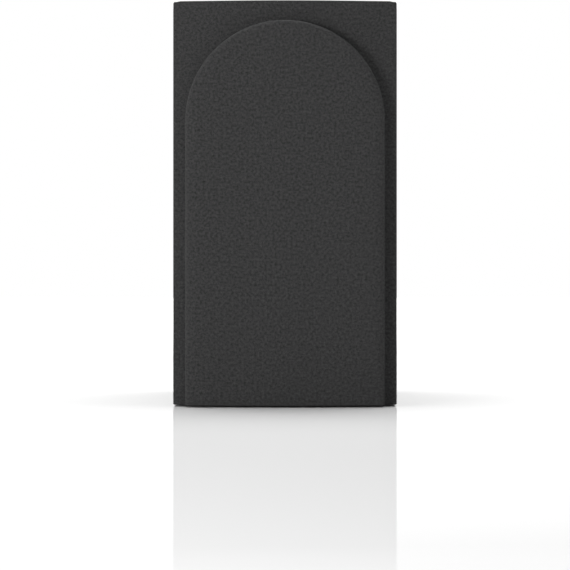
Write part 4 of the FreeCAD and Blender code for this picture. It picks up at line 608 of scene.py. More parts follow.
def foam(name, rgb):
    """Open-cell foam: pale struts, with painted shade darkening the pores between them."""
    finish = Finish(name, Specular_IOR_Level=0.15)
    cells = finish.tree.add(
        "ShaderNodeTexVoronoi", {"Vector": finish.vector, "Scale": 950.0}, feature="DISTANCE_TO_EDGE"
    ).outputs["Distance"]
    # Painted shade: the colour is darkened towards each cell's middle, in the pores where shade falls. The same mask
    # raises the struts.
    strut_and_pore_shade = finish.tree.between(cells, 0.02, 0.22, 1.0, 0.25)
    mottle = finish.use(mottle_group(), Scale=18.0, Colour=opaque(rgb), Shade_change=0.15, Roughness=0.95)
    finish.paint(Base_Color=finish.tree.mix(1.0, mottle["Colour"], strut_and_pore_shade, "MULTIPLY"), Roughness=mottle["Roughness"])
    finish.emboss(strut_and_pore_shade, 0.0004)
    return finish.material


def circuit_board(name, rgb):
    """Green board with darker tracks under the lacquer."""
    finish = Finish(name, Coat_Weight=0.4)
    tracks = finish.tree.add(
        "ShaderNodeTexBrick",
        {
            "Vector": finish.vector,
            "Scale": 70.0,
            "Mortar Size": 0.06,
            "Color1": opaque(rgb),
            "Color2": opaque([channel * 0.8 for channel in rgb]),
            "Mortar": opaque([channel * 1.7 for channel in rgb]),
        },
    )
    mottle = finish.use(mottle_group(), Scale=30.0, Colour=tracks.outputs["Color"], Shade_change=0.1, Roughness=0.35)
    finish.paint(Base_Color=mottle["Colour"], Roughness=mottle["Roughness"])
    finish.emboss(tracks.outputs["Fac"], 0.00003)
    return finish.material


def dress(material, *nodes):
    """Gives CAD nodes a material."""
    for node in nodes:
        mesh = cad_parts[node].data
        mesh.materials.clear()
        mesh.materials.append(material)


def dress_sides(node, left, right, middle):
    """Two materials on one CAD node, split where middle says for a face at x."""
    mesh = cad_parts[node].data
    mesh.materials.clear()
    mesh.materials.append(left)
    mesh.materials.append(right)
    for face in mesh.polygons:
        face.material_index = 0 if face.center.x < middle(face.center.x) else 1


# Mesh tools


def deselect():
    """Leaves edit mode and selects nothing."""
    if bpy.context.mode != "OBJECT":
        bpy.ops.object.mode_set(mode="OBJECT")
    bpy.ops.object.select_all(action="DESELECT")


def work_on(piece):
    """Makes a piece the only one selected, and active."""
    deselect()
    piece.select_set(True)
    bpy.context.view_layer.objects.active = piece


def apply_modifier(piece, kind, **settings):
    """Adds a modifier and applies it."""
    work_on(piece)
    modifier = piece.modifiers.new(kind.title(), kind)
    for name, setting in settings.items():
        setattr(modifier, name, setting)
    bpy.ops.object.modifier_apply(modifier=modifier.name)


def weld(piece, distance=None, outward=False):
    """Joins the points of a mesh that are closer than a distance, and may turn its faces outwards."""
    work_on(piece)
    bpy.ops.object.mode_set(mode="EDIT")
    bpy.ops.mesh.select_all(action="SELECT")
    if distance:
        bpy.ops.mesh.remove_doubles(threshold=distance)
    if outward:
        bpy.ops.mesh.normals_make_consistent(inside=False)
    bpy.ops.object.mode_set(mode="OBJECT")


def settle(piece, name, material, smooth=35):
    """Names a finished piece, puts its place in its mesh and gives it its material."""
    work_on(piece)
    bpy.ops.object.transform_apply(location=True, rotation=True, scale=True)
    piece.name = piece.data.name = name
    piece.data.materials.clear()
    piece.data.materials.append(material)
    bpy.ops.object.shade_smooth_by_angle(angle=math.radians(smooth))
    return piece


def select_points(piece, wanted):
    """Selects the points of a mesh that pass a test on their place, and leaves edit mode on."""
    work_on(piece)
    bpy.ops.object.mode_set(mode="EDIT")
    bpy.ops.mesh.select_mode(type="VERT")
    bpy.ops.mesh.select_all(action="DESELECT")
    bpy.ops.object.mode_set(mode="OBJECT")
    for point in piece.data.vertices:
        point.select = wanted(piece.matrix_world @ point.co)
    bpy.ops.object.mode_set(mode="EDIT")


def smooth_copy(node, name, material, angle=35):
    """A copy of a CAD node whose triangles are joined, so that its round faces shade smoothly."""
    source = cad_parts[node]
    mesh = source.data.copy()
    mesh.materials.clear()
    piece = bpy.data.objects.new(name, mesh)
    bpy.context.scene.collection.objects.link(piece)
    weld(piece, WELD)
    settle(piece, name, material, angle)
    apply_modifier(piece, "WEIGHTED_NORMAL", mode="FACE_AREA", keep_sharp=True)
    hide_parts(node)
    return piece


def roll(name, axis, inner, outer, lip_in, lip_out, thickness, front, segments, material):
    """A half-roll surround: half a circle with a flat lip at each end, spun round the drive unit's axis."""
    centre, radius = (inner + outer) / 2, (outer - inner) / 2
    deselect()
    bpy.ops.mesh.primitive_circle_add(
        vertices=ROLL_POINTS,
        radius=radius,
        location=(axis.x, front, axis.z + centre),
        rotation=(0, math.pi / 2, 0),
    )
    piece = bpy.context.object
    select_points(piece, lambda place: place.y > front + WELD)
    bpy.ops.mesh.delete(type="VERT")
    for side, reach in ((-1, lip_in), (1, lip_out)):
        end = axis.z + centre + side * radius
        select_points(piece, lambda place, end=end: abs(place.z - end) < 1e-5)
        bpy.ops.mesh.extrude_vertices_move(TRANSFORM_OT_translate={"value": (0, 0, side * reach)})
    bpy.ops.mesh.select_all(action="SELECT")
    bpy.ops.mesh.spin(steps=segments, angle=2 * math.pi, center=(axis.x, front, axis.z), axis=(0, 1, 0))
    bpy.ops.mesh.select_all(action="SELECT")
    bpy.ops.mesh.remove_doubles(threshold=WELD)
    bpy.ops.mesh.normals_make_consistent(inside=False)
    bpy.ops.object.mode_set(mode="OBJECT")
    apply_modifier(piece, "SOLIDIFY", thickness=thickness, offset=0)
    return settle(piece, name, material)


def stretch_between(piece, still, moving, axis, inner, outer):
    """Bends a ring between two bodies: it follows the moving one inside the inner radius."""
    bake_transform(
        piece,
        still,
        moving,
        start=(axis.x, axis.y, axis.z + outer),
        end=(axis.x, axis.y, axis.z + inner),
    )
    weights = piece.data.attributes["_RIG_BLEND"].data
    for point, weight in zip(piece.data.vertices, weights):
        reach = math.hypot(point.co.x - axis.x, point.co.z - axis.z)
        share = min(max((outer - reach) / (outer - inner), 0), 1)
        weight.value = share * share * (3 - 2 * share)


# Grille


def arch_ring(half, height, bottom, sides, turns):
    """Points of one arch, from bottom left round to bottom right, with each point's outward direction."""
    up = [bottom + (height - bottom) * i / sides for i in range(sides)]
    angles = [math.pi * (1 - i / turns) for i in range(turns + 1)]
    left = [(-half, z, -1.0, 0.0) for z in up]
    top = [(half * math.cos(a), height + half * math.sin(a), math.cos(a), math.sin(a)) for a in angles]
    right = [(half, z, 1.0, 0.0) for z in reversed(up)]
    return left + top + right


class ClothShape:
    """The stretched cloth's outer surface, before it is pulled tight over the opening."""

    def __init__(self, settings):
        low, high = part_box("grille_cloth")
        self.low, self.high = low, high
        self.half = high.x
        self.settings = settings
        self.base_front = low.y + settings.relief
        self.curve = (self.half**2 + settings.bow**2) / (2 * settings.bow)
        self.arch_height = high.z - settings.drop - settings.half_width

    def front(self, x, raised):
        """The bowed front's y at x, with the arch's relief or without."""
        radius = self.curve + raised * self.settings.relief
        centre = self.base_front + self.curve
        return centre - math.sqrt(radius * radius - x * x)

    def section(self):
        """The cut through the arch's edge, as (offset outwards, depth below the arch's front)."""
        s = self.settings
        rows = []
        reach = s.half_width - FLAT_MARGIN * s.shoulder
        count = round(reach / s.step)
        rows += [(-s.half_width + reach * i / count, 0.0) for i in range(count + 1)]
        for i in range(1, SHOULDER_STEPS + 1):
            angle = math.pi / 2 * i / SHOULDER_STEPS
            rows.append((s.shoulder * (math.sin(angle) - 1), s.shoulder * (1 - math.cos(angle))))
        wall = s.relief - s.shoulder - s.foot
        rows += [(0.0, s.shoulder + wall * i / WALL_STEPS) for i in range(1, WALL_STEPS + 1)]
        for i in range(1, FOOT_STEPS + 1):
            angle = math.pi / 2 * i / FOOT_STEPS
            rows.append((s.foot * (1 - math.cos(angle)), s.relief - s.foot * (1 - math.sin(angle))))
        return rows

    def edge_point(self, x, z, way_x, way_z, share):
        """A point between the arch's foot and the sheet's outline, along the outward direction."""
        reach = []
        if abs(way_x) > 1e-9:
            reach.append((math.copysign(self.half, way_x) - x) / way_x)
        if way_z > 1e-9:
            reach.append((self.high.z - z) / way_z)
        distance = min(reach) * share
        return x + way_x * distance, z + way_z * distance


def cloth_rings(shape, sides, turns):
    """Rings of (place, flat place), from the arch's middle out to the sheet's outline on the front."""
    s = shape.settings
    rings = []
    spent = 0.0
    before = None
    for offset, drop in shape.section():
        if before:
            spent += math.hypot(offset - before[0], drop - before[1]) - (offset - before[0])
        before = (offset, drop)
        ring = []
        for x, z, way_x, way_z in arch_ring(s.half_width + offset, shape.arch_height, shape.low.z, sides, turns):
            y = shape.front(x, 1.0) + drop * (shape.front(x, 0.0) - shape.front(x, 1.0)) / s.relief
            ring.append((Vector((x, y, z)), (x + way_x * spent, z + way_z * spent)))
        rings.append(ring)
    foot = arch_ring(s.half_width + before[0], shape.arch_height, shape.low.z, sides, turns)
    corner = math.atan2(shape.high.z - shape.arch_height, shape.half)
    for share in PLATE_SHARES:
        ring = []
        for x, z, way_x, way_z in foot:
            turned = math.atan2(way_z, abs(way_x))
            if abs(turned - corner) < math.pi / turns / 2:
                way_x, way_z = math.copysign(math.cos(corner), way_x), math.sin(corner)
            px, pz = shape.edge_point(x, z, way_x, way_z, share)
            ring.append((Vector((px, shape.front(px, 0.0), pz)), (px + way_x * spent, pz + way_z * spent)))
        rings.append(ring)
    return rings


def wrapped_rows(shape, ring):
    """Rows that carry the sheet's outline back to the frame's rear and turn it in."""
    s = shape.settings
    middle = (shape.low.z + shape.high.z) / 2
    rows = []
    for i in range(1, EDGE_ROWS + 1):
        share = i / EDGE_ROWS
        row = []
        for place, flat in ring:
            y = place.y + (shape.high.y - place.y) * share
            beyond = y - place.y
            sideways = abs(abs(place.x) - shape.half) < 1e-6
            away = (math.copysign(beyond, place.x), 0) if sideways else (0, math.copysign(beyond, place.z - middle))
            row.append((Vector((place.x, y, place.z)), (flat[0] + away[0], flat[1] + away[1])))
        rows.append(row)
    for i in range(1, TURN_IN_ROWS + 1):
        inset = s.turn_in * i / TURN_IN_ROWS
        row = []
        for place, flat in rows[EDGE_ROWS - 1]:
            x = math.copysign(min(abs(place.x), shape.half - inset), place.x)
            z = min(max(place.z, shape.low.z + inset), shape.high.z - inset)
            shift = (x - place.x, z - place.z)
            row.append((Vector((x, place.y, z)), (flat[0] - shift[0], flat[1] - shift[1])))
        rows.append(row)
    return rows


def join_rows(points, flats, faces, rows):
    """Adds rows of points as a grid of quads."""
    width = len(rows[0])
    start = len(points)
    for row in rows:
        points.extend(place for place, _ in row)
        flats.extend(flat for _, flat in row)
    for i in range(len(rows) - 1):
        for j in range(width - 1):
            a = start + i * width + j
            faces.append((a, a + 1, a + width + 1, a + width))


def cloth_mesh(name, settings):
    """The whole sheet: the front with its arch, the sides, and the cloth folded behind the frame."""
    shape = ClothShape(settings)
    sides = round((shape.arch_height - shape.low.z) / settings.step)
    turns = 2 * round(math.pi * settings.half_width / settings.step / 2)
    rings = cloth_rings(shape, sides, turns)
    points, flats, faces = [], [], []
    join_rows(points, flats, faces, rings + wrapped_rows(shape, rings[-1]))
    ends = [ring[0] for ring in reversed(rings)] + [ring[-1] for ring in rings[1:]]
    join_rows(points, flats, faces, [ends] + wrapped_rows(shape, ends))
    mesh = bpy.data.meshes.new(name)
    mesh.from_pydata([tuple(point) for point in points], [], faces)
    layer = mesh.uv_layers.new(name="flat_cloth")
    for loop in mesh.loops:
        layer.data[loop.index].uv = flats[loop.vertex_index]
    piece = bpy.data.objects.new(name, mesh)
    bpy.context.scene.collection.objects.link(piece)
    weld(piece, CLOTH_WELD, outward=True)
    return piece, shape


def pull_tight(piece, shape):
    """Lets the cloth draw itself tight over the frame's opening, held where it is glued."""
    s = shape.settings
    half = s.half_width - s.rim
    floor = shape.low.z + s.bottom_rail

    def free(place):
        if place.y > shape.front(place.x, 1.0) + FRONT_DEPTH or place.z < floor:
            return False
        if place.z < shape.arch_height:
            return abs(place.x) < half
        return math.hypot(place.x, place.z - shape.arch_height) < half

    glued = piece.vertex_groups.new(name="glued")
    glued.add([point.index for point in piece.data.vertices if not free(point.co)], 1.0, "REPLACE")
    before = [point.co.copy() for point in piece.data.vertices]
    work_on(piece)
    cloth = piece.modifiers.new("Cloth", "CLOTH")
    cloth.settings.vertex_group_mass = "glued"
    cloth.settings.effector_weights.gravity = 0
    cloth.settings.quality = 6
    cloth.settings.mass = 0.02
    cloth.settings.tension_stiffness = 40
    cloth.settings.compression_stiffness = 10
    cloth.settings.bending_stiffness = 0.05
    cloth.settings.shrink_min = 0.03
    cloth.collision_settings.use_collision = False
    scene = bpy.context.scene
    for number in range(1, CLOTH_FRAMES + 1):
        scene.frame_set(number)
    bpy.ops.object.modifier_apply(modifier=cloth.name)
    scene.frame_set(1)
    for point, start in zip(piece.data.vertices, before):
        moved = point.co - start
        if moved.length > s.bow:
            point.co = start + moved * (s.bow / moved.length)
    piece.vertex_groups.clear()


def soften_outline(piece, shape):
    """Rounds the sheet where it goes over the frame's outer edges."""

    def on_edge(place):
        side = abs(abs(place.x) - shape.half) < OUTLINE_REACH
        end = min(abs(place.z - shape.low.z), abs(place.z - shape.high.z)) < OUTLINE_REACH
        front = place.y < shape.front(place.x, 0.0) + OUTLINE_FRONT_REACH
        rear = shape.high.y - place.y < OUTLINE_REACH
        return (side or end) and (front or rear) or side and end

    select_points(piece, on_edge)
    bpy.ops.mesh.vertices_smooth(factor=0.5, repeat=1)
    bpy.ops.object.mode_set(mode="OBJECT")


class SPEAKER_OT_grille_cloth(bpy.types.Operator):
    """Makes the grille's stretched cloth and pulls it tight over the frame"""

    bl_idname = "speaker.grille_cloth"
    bl_label = "Grille cloth"

    def execute(self, context):
        settings = context.scene.speaker_grille
        piece, shape = cloth_mesh("stretched_cloth", settings)
        pull_tight(piece, shape)
        soften_outline(piece, shape)
        apply_modifier(piece, "SOLIDIFY", thickness=settings.thickness, offset=-1)
        settle(piece, "stretched_cloth", knitted("charcoal_knit", settings), 40)
        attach(piece, "grille")
        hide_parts("grille_cloth")
        return {"FINISHED"}


class SPEAKER_OT_grille_frame(bpy.types.Operator):
    """Finishes the grille's moulded frame, its pegs and their rubber sockets"""

    bl_idname = "speaker.grille_frame"
    bl_label = "Grille frame"

    def execute(self, context):
        settings = context.scene.speaker_grille
        plastic = moulded("frame_moulding", settings.frame_colour, 0.5, depth=0.00003)
        dress(plastic, "grille_frame", "grille_pegs")
        dress(moulded("socket_rubber", settings.frame_colour, 0.72, grit=700.0), "grille_sockets")
        return {"FINISHED"}


# Cabinet


class SPEAKER_OT_cabinet(bpy.types.Operator):
    """Finishes the wrapped panels, the painted baffle and rear panel, the brace and the feet"""

    bl_idname = "speaker.cabinet"
    bl_label = "Cabinet"

    def execute(self, context):
        settings = context.scene.speaker_cabinet
        upright = ash_vinyl("ash_vinyl_upright", settings, (0, 0, 0))
        level = ash_vinyl("ash_vinyl_level", settings, (0, math.pi / 2, 0))
        dress(upright, "side_panel_left", "side_panel_right")
        dress(level, "top_panel", "bottom_panel")
        paint = moulded("satin_paint", settings.paint_colour, 0.42, grit=420.0, depth=0.00005, shade=0.08)
        dress(paint, "front_baffle", "rear_panel")
        dress(fibreboard("bare_fibreboard", settings.fibre_colour), "window_brace")
        rubber = moulded("foot_rubber", settings.rubber_colour, 0.75, grit=800.0)
        smooth_copy("rubber_feet", "rubber_feet_round", rubber)
        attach(bpy.data.objects["rubber_feet_round"], "cabinet")
        return {"FINISHED"}


def egg_crate(name, low, high, face, material):
    """A foam slab with peaks and valleys on one face. face is the axis and the direction that the peaks point."""
    settings = bpy.context.scene.speaker_cabinet
    axis, way = face
    across, up = [i for i in range(3) if i != axis]
    counts = [max(4, round((high[i] - low[i]) / settings.foam_pitch * FOAM_STEPS)) for i in (across, up)]
    deselect()
    bpy.ops.mesh.primitive_grid_add(x_subdivisions=counts[0], y_subdivisions=counts[1], size=1)
    piece = bpy.context.object
    base, tip = (low[axis], high[axis]) if way > 0 else (high[axis], low[axis])
    deep = settings.foam_base / abs(high[axis] - low[axis])
    for point in piece.data.vertices:
        u, v = point.co.x + 0.5, point.co.y + 0.5
        place = [0.0, 0.0, 0.0]
        place[across] = low[across] + (high[across] - low[across]) * u
        place[up] = low[up] + (high[up] - low[up]) * v
        waves = [math.cos(2 * math.pi * (place[i] - low[i]) / settings.foam_pitch) for i in (across, up)]
        rise = deep + (1 - deep) * (0.5 + 0.5 * waves[0] * waves[1])
        place[axis] = base + (tip - base) * rise
        point.co = place
    work_on(piece)
    bpy.ops.object.mode_set(mode="EDIT")
    bpy.ops.mesh.select_all(action="SELECT")
    bpy.ops.mesh.extrude_region()
    bpy.ops.object.mode_set(mode="OBJECT")
    for point in piece.data.vertices:
        if point.select:
            point.co[axis] = base
    weld(piece, outward=True)
    return settle(piece, name, material, 80)


class SPEAKER_OT_foam(bpy.types.Operator):
    """Makes the egg-crate foam pads inside the cabinet"""

    bl_idname = "speaker.foam"
    bl_label = "Foam pads"

    def execute(self, context):
        material = foam("open_cell_foam", context.scene.speaker_cabinet.foam_colour)
        low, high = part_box("damping_side_pads")
        brace_low, brace_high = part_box("window_brace")
        gap = low.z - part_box("bottom_panel")[1].z
        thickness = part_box("damping_rear_pad")[1].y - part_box("damping_rear_pad")[0].y
        pads = []
        for side, word in ((-1, "left"), (1, "right")):
            outer = low.x if side < 0 else high.x
            inner = outer - side * thickness
            x_low, x_high = min(outer, inner), max(outer, inner)
            for bottom, top, level in ((low.z, brace_low.z - gap, "lower"), (brace_high.z + gap, high.z, "upper")):
                pads.append(
                    egg_crate(
                        f"side_foam_{word}_{level}",
                        Vector((x_low, low.y, bottom)),
                        Vector((x_high, high.y, top)),
                        (0, -side),
                        material,
                    )
                )
        rear = egg_crate("rear_foam", *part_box("damping_rear_pad"), (1, -1), material)
        self.cut_out(rear, "port_flare", 0.0)
        self.cut_out(rear, "terminal_cup", CUP_OVERLAP)
        for pad in pads:
            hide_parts("damping_side_pads")
        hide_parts("damping_rear_pad")
        for pad in (*pads, rear):
            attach(pad, "cabinet")
        return {"FINISHED"}

    def cut_out(self, pad, node, less):
        """Cuts a hole through a pad for the node that passes through it, smaller all round by less."""
        low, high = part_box(node)
        middle = (low + high) / 2
        middle.y = sum(corner.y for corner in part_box("damping_rear_pad")) / 2
        deselect()
        if node == "port_flare":
            radius = (high.x - low.x) / 2
            bpy.ops.mesh.primitive_cylinder_add(vertices=64, radius=radius, depth=CUTTER_DEPTH, location=middle)
            bpy.context.object.rotation_euler = FACING
        else:
            bpy.ops.mesh.primitive_cube_add(size=1, location=middle)
            bpy.context.object.scale = (high.x - low.x - 2 * less, CUTTER_DEPTH, high.z - low.z - 2 * less)
        tool = bpy.context.object
        bpy.context.view_layer.update()
        apply_modifier(pad, "BOOLEAN", operation="DIFFERENCE", object=tool, solver="EXACT")
        bpy.data.objects.remove(tool)


# Woofer and tweeter

ROUND_PIECES = {
    "woofer_cone": ("cone_paper", "woofer_diaphragm"),
    "woofer_dust_cap": ("cap_paper", "woofer_diaphragm"),
    "woofer_trim_ring": ("trim_moulding", "cabinet"),
    "woofer_basket": ("basket_coat", "cabinet"),
    "woofer_magnet": ("woofer_ferrite", "cabinet"),
    "tweeter_faceplate": ("faceplate_moulding", "cabinet"),
    "tweeter_dome": ("dome_silk", "tweeter_diaphragm"),
}


class SPEAKER_OT_drive_units(bpy.types.Operator):
    """Finishes the woofer and the tweeter"""

    bl_idname = "speaker.drive_units"
    bl_label = "Drive units"

    def execute(self, context):
        settings = context.scene.speaker_drivers
        made = {
            "cone_paper": moulded("cone_paper", settings.cone_colour, 0.62, grit=520.0, depth=0.00012, shade=0.18),
            "cap_paper": moulded("cap_paper", settings.cone_colour, 0.5, grit=650.0, depth=0.00006, shade=0.14),
            "trim_moulding": moulded("trim_moulding", settings.plastic_colour, 0.38, grit=1500.0),
            "basket_coat": moulded("basket_coat", settings.basket_colour, 0.5, grit=1100.0, depth=0.00008),
            "woofer_ferrite": moulded("ferrite", settings.ferrite_colour, 0.6, grit=400.0, depth=0.00005, shade=0.2),
            "faceplate_moulding": moulded("faceplate_moulding", settings.plastic_colour, 0.42, grit=1700.0),
            "dome_silk": dipped_cloth(
                "dome_silk", settings.silk_colour, 2400.0, TWEETER_AXIS, 0.00003, Coat_Weight=0.15
            ),
        }
        for node, (material, body) in ROUND_PIECES.items():
            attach(smooth_copy(node, f"{node}_round", made[material]), body)
        rubber = moulded("surround_rubber", settings.rubber_colour, 0.46, grit=600.0, depth=0.00002, shade=0.16)
        surround = roll(
            "rubber_roll",
            WOOFER_AXIS,
            settings.roll_inner,
            settings.roll_outer,
            settings.cone_lip,
            settings.roll_lip,
            settings.rubber,
            BAFFLE_Y + settings.rubber / 2,
            WOOFER_SEGMENTS,
            rubber,
        )
        small = roll(
            "silk_roll",
            TWEETER_AXIS,
            settings.small_inner,
            settings.small_outer,
            SMALL_INNER_LIP,
            settings.small_lip,
            settings.silk,
            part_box("tweeter_dome")[1].y - settings.silk / 2,
            TWEETER_SEGMENTS,
            made["dome_silk"],
        )
        spider_cloth = dipped_cloth("spider_cloth", settings.spider_colour, 1300.0, WOOFER_AXIS, 0.00008)
        spider = smooth_copy("woofer_spider", "corrugated_spider", spider_cloth)
        spider_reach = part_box("woofer_spider")[1].x
        coil_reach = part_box("woofer_coil_former")[1].x
        for piece, slot, axis, inner, outer, body in (
            (surround, "black_rubber", WOOFER_AXIS, settings.roll_inner, settings.roll_outer, "woofer_diaphragm"),
            (small, "silk", TWEETER_AXIS, settings.small_inner, settings.small_outer, "tweeter_diaphragm"),
            (spider, "spider_cloth", WOOFER_AXIS, coil_reach + 0.002, spider_reach - 0.006, "woofer_diaphragm"),
        ):
            stretch_between(piece, "cabinet", body, axis, inner, outer)
        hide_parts("woofer_surround")
        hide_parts("tweeter_surround")
        zinc = plated("zinc_plate", settings.zinc_colour, 0.34, WOOFER_AXIS, FACING)
        dress(zinc, "woofer_front_plate", "woofer_yoke", "tweeter_front_plate", "tweeter_yoke")
        dress(made["woofer_ferrite"], "tweeter_magnet")
        copper = wound("coil_wire", settings.copper_colour, WOOFER_AXIS, FACING, 0.0003)
        dress(copper, "woofer_voice_coil", "tweeter_voice_coil")
        film = moulded("polyimide_film", settings.film_colour, 0.3, grit=300.0, depth=0.00001, coat=0.5)
        dress(film, "woofer_coil_former", "tweeter_coil_former", "woofer_terminal_strip")
        dress(made["trim_moulding"], "tweeter_rear_chamber")
        dress(foam("seal_foam", settings.basket_colour), "woofer_seal", "tweeter_seal", "terminal_seal")
        black_zinc = plated("black_zinc", (0.035, 0.035, 0.038), 0.36, WOOFER_AXIS, FACING)
        dress(black_zinc, "woofer_screws", "tweeter_screws", "terminal_screws")
        return {"FINISHED"}


# Port and terminals


class SPEAKER_OT_port(bpy.types.Operator):
    """Finishes the port's flared mouth and tube"""

    bl_idname = "speaker.port"
    bl_label = "Port"

    def execute(self, context):
        plastic = moulded("port_moulding", context.scene.speaker_drivers.plastic_colour, 0.45, grit=1400.0)
        for node in ("port_flare", "port_tube"):
            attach(smooth_copy(node, f"{node}_round", plastic), "cabinet")
        return {"FINISHED"}


class SPEAKER_OT_terminals(bpy.types.Operator):
    """Finishes the terminal cup and the binding posts"""

    bl_idname = "speaker.terminals"
    bl_label = "Terminals"

    def execute(self, context):
        settings = context.scene.speaker_terminals
        drivers = context.scene.speaker_drivers
        cup = moulded("cup_moulding", drivers.plastic_colour, 0.48, grit=1200.0, depth=0.00006)
        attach(smooth_copy("terminal_cup", "terminal_cup_moulding", cup), "cabinet")
        low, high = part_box("post_studs")
        centre = (low + high) / 2
        gold = plated("gold_plate", settings.gold, 0.22, centre, FACING, pitch=0.001, depth=0.00005)
        dress(gold, "post_studs", "post_washer_red", "post_washer_black")
        zinc = plated("nut_zinc", drivers.zinc_colour, 0.34, centre, FACING)
        dress(zinc, "post_nuts", "board_screws")
        gloss = {"grit": 500.0, "depth": 0.00001, "coat": 0.4}
        red = moulded("red_plastic", settings.red, 0.28, **gloss)
        black = moulded("black_plastic", settings.black, 0.28, **gloss)
        for word, material in (("red", red), ("black", black)):
            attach(smooth_copy(f"post_knob_{word}", f"fluted_knob_{word}", material, 28), f"knob_{word}")
        dress_sides("post_collars", red, black, lambda x: 0.0)
        return {"FINISHED"}


# Crossover


class SPEAKER_OT_crossover(bpy.types.Operator):
    """Finishes the crossover board, its components and the internal leads"""

    bl_idname = "speaker.crossover"
    bl_label = "Crossover"

    def execute(self, context):
        settings = context.scene.speaker_terminals
        dress(circuit_board("circuit_board", settings.board), "crossover_board")
        dress(moulded("spacer_plastic", (0.55, 0.54, 0.50), 0.5), "board_standoffs")
        for node, turned in (("choke_woofer", (0, 0, 0)), ("choke_tweeter", (0, math.pi / 2, 0))):
            low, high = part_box(node)
            rgb = context.scene.speaker_drivers.copper_colour
            dress(wound(f"{node}_wire", rgb, (low + high) / 2, turned, settings.wire_pitch), node)
        sleeves = {
            "capacitor_film": moulded("yellow_wrap", settings.yellow, 0.35, coat=0.3),
            "capacitor_electrolytic": moulded("blue_sleeve", settings.blue, 0.3, coat=0.4),
        }
        for node, material in sleeves.items():
            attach(smooth_copy(node, f"{node}_round", material), "cabinet")
        dress(moulded("white_cement", settings.cement, 0.8, grit=600.0, depth=0.0001), "crossover_resistor")
        red = moulded("red_insulation", settings.red, 0.35, coat=0.2)
        black = moulded("black_insulation", settings.black, 0.35, coat=0.2)
        right_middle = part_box("internal_leads")[1].x - LEAD_INSET
        dress_sides("internal_leads", red, black, lambda x: right_middle if x > RIGHT_PAIR_START else 0.0)
        return {"FINISHED"}


# Stage


def softbox(name, place, aim, size, power):
    """An area light that points at a place."""
    light = bpy.data.lights.new(name, "AREA")
    light.shape, light.size, light.size_y, light.energy = "RECTANGLE", *size, power
    lamp = bpy.data.objects.new(name, light)
    bpy.context.scene.collection.objects.link(lamp)
    lamp.location = place
    lamp.rotation_euler = (Vector(aim) - Vector(place)).to_track_quat("-Z", "Y").to_euler()


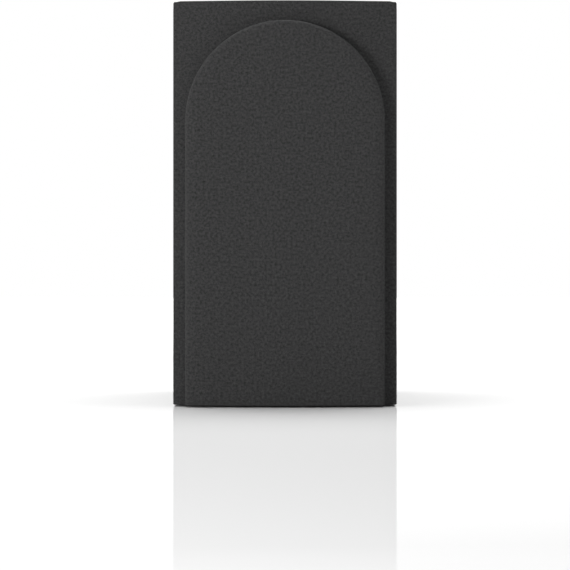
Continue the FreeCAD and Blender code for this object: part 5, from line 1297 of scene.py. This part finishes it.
class SPEAKER_OT_stage(bpy.types.Operator):
    """Sets up the floor, the lights and the camera"""

    bl_idname = "speaker.stage"
    bl_label = "Stage"

    def execute(self, context):
        settings = context.scene.speaker_stage
        self.floor(settings)
        for name, place, aim, size, power in LIGHTS:
            softbox(name, place, aim, size, getattr(settings, power))
        self.room(context.scene, settings)
        context.scene.view_settings.view_transform = "Standard"
        self.camera(context.scene, settings)
        return {"FINISHED"}

    def room(self, scene, settings):
        """White walls round the floor, under a dim ceiling."""
        world = bpy.data.worlds.new("white_room")
        scene.world = world
        world.use_nodes = True
        tree = Tree(world.node_tree)
        rays = tree.add("ShaderNodeLightPath").outputs
        place = tree.add("ShaderNodeTexCoord").outputs["Generated"]
        height = tree.add("ShaderNodeSeparateXYZ", {0: place}).outputs["Z"]
        wall = tree.between(height, WALL_TOP, CEILING_START, 1.0, settings.sky_strength)
        lit = tree.math("MAXIMUM", wall, rays["Is Camera Ray"])
        tree.feed(world.node_tree.nodes["Background"].inputs["Color"], (1, 1, 1, 1))
        tree.feed(world.node_tree.nodes["Background"].inputs["Strength"], lit)

    def floor(self, settings):
        """A pale floor with a faint sheen, that turns evenly white away from the speaker."""
        deselect()
        bpy.ops.mesh.primitive_plane_add(size=FLOOR_SIZE)
        plane = bpy.context.object
        plane.name = "floor"
        finish = Finish("pale_floor", Roughness=0.04, IOR=1.045)
        distance = finish.tree.add("ShaderNodeVectorMath", {0: finish.vector}, operation="LENGTH").outputs["Value"]
        glow = finish.tree.between(distance, GLOW_START, GLOW_FULL)
        white = finish.tree.mix(glow, (0, 0, 0, 1), (1, 1, 1, 1))
        finish.paint(Base_Color=opaque(settings.floor_colour), Emission_Color=white)
        finish.shader.inputs["Emission Strength"].default_value = GLOW_STRENGTH
        plane.data.materials.append(finish.material)

    def camera(self, scene, settings):
        """Level, and straight in front of the grille."""
        lens = bpy.data.cameras.new("camera")
        lens.sensor_width = 36
        lens.lens = lens.sensor_width * settings.camera_distance / settings.view_width
        eye = bpy.data.objects.new("camera", lens)
        scene.collection.objects.link(eye)
        eye.location = (0, CAD_BOX[0].y - settings.camera_distance, settings.camera_height)
        eye.rotation_euler = (math.pi / 2, 0, 0)
        scene.camera = eye


class SPEAKER_PT_panel(bpy.types.Panel):
    """Lists the speaker's settings and operators"""

    bl_label = "Speaker"
    bl_idname = "SPEAKER_PT_panel"
    bl_space_type = "VIEW_3D"
    bl_region_type = "UI"
    bl_category = "Speaker"

    def draw(self, context):
        for operator in OPERATORS:
            self.layout.operator(operator.bl_idname)
        for name in SETTINGS:
            box = self.layout.box()
            held = getattr(context.scene, name)
            for key in held.__annotations__:
                box.prop(held, key)


SETTINGS = {
    "speaker_stage": StageSettings,
    "speaker_grille": GrilleSettings,
    "speaker_cabinet": CabinetSettings,
    "speaker_drivers": DriverSettings,
    "speaker_terminals": TerminalSettings,
}
OPERATORS = (
    SPEAKER_OT_stage,
    SPEAKER_OT_grille_cloth,
    SPEAKER_OT_grille_frame,
    SPEAKER_OT_cabinet,
    SPEAKER_OT_foam,
    SPEAKER_OT_drive_units,
    SPEAKER_OT_port,
    SPEAKER_OT_terminals,
    SPEAKER_OT_crossover,
)


def register():
    for made in (*SETTINGS.values(), *OPERATORS, SPEAKER_PT_panel):
        bpy.utils.register_class(made)
    for name, made in SETTINGS.items():
        setattr(bpy.types.Scene, name, PointerProperty(type=made))


def unregister():
    for name in SETTINGS:
        delattr(bpy.types.Scene, name)
    for made in reversed((*SETTINGS.values(), *OPERATORS, SPEAKER_PT_panel)):
        bpy.utils.unregister_class(made)


def main():
    register()
    bpy.ops.speaker.stage()
    bpy.ops.speaker.grille_cloth()
    bpy.ops.speaker.grille_frame()
    bpy.ops.speaker.cabinet()
    bpy.ops.speaker.foam()
    bpy.ops.speaker.drive_units()
    bpy.ops.speaker.port()
    bpy.ops.speaker.terminals()
    bpy.ops.speaker.crossover()


if __name__ == "__main__":
    main()
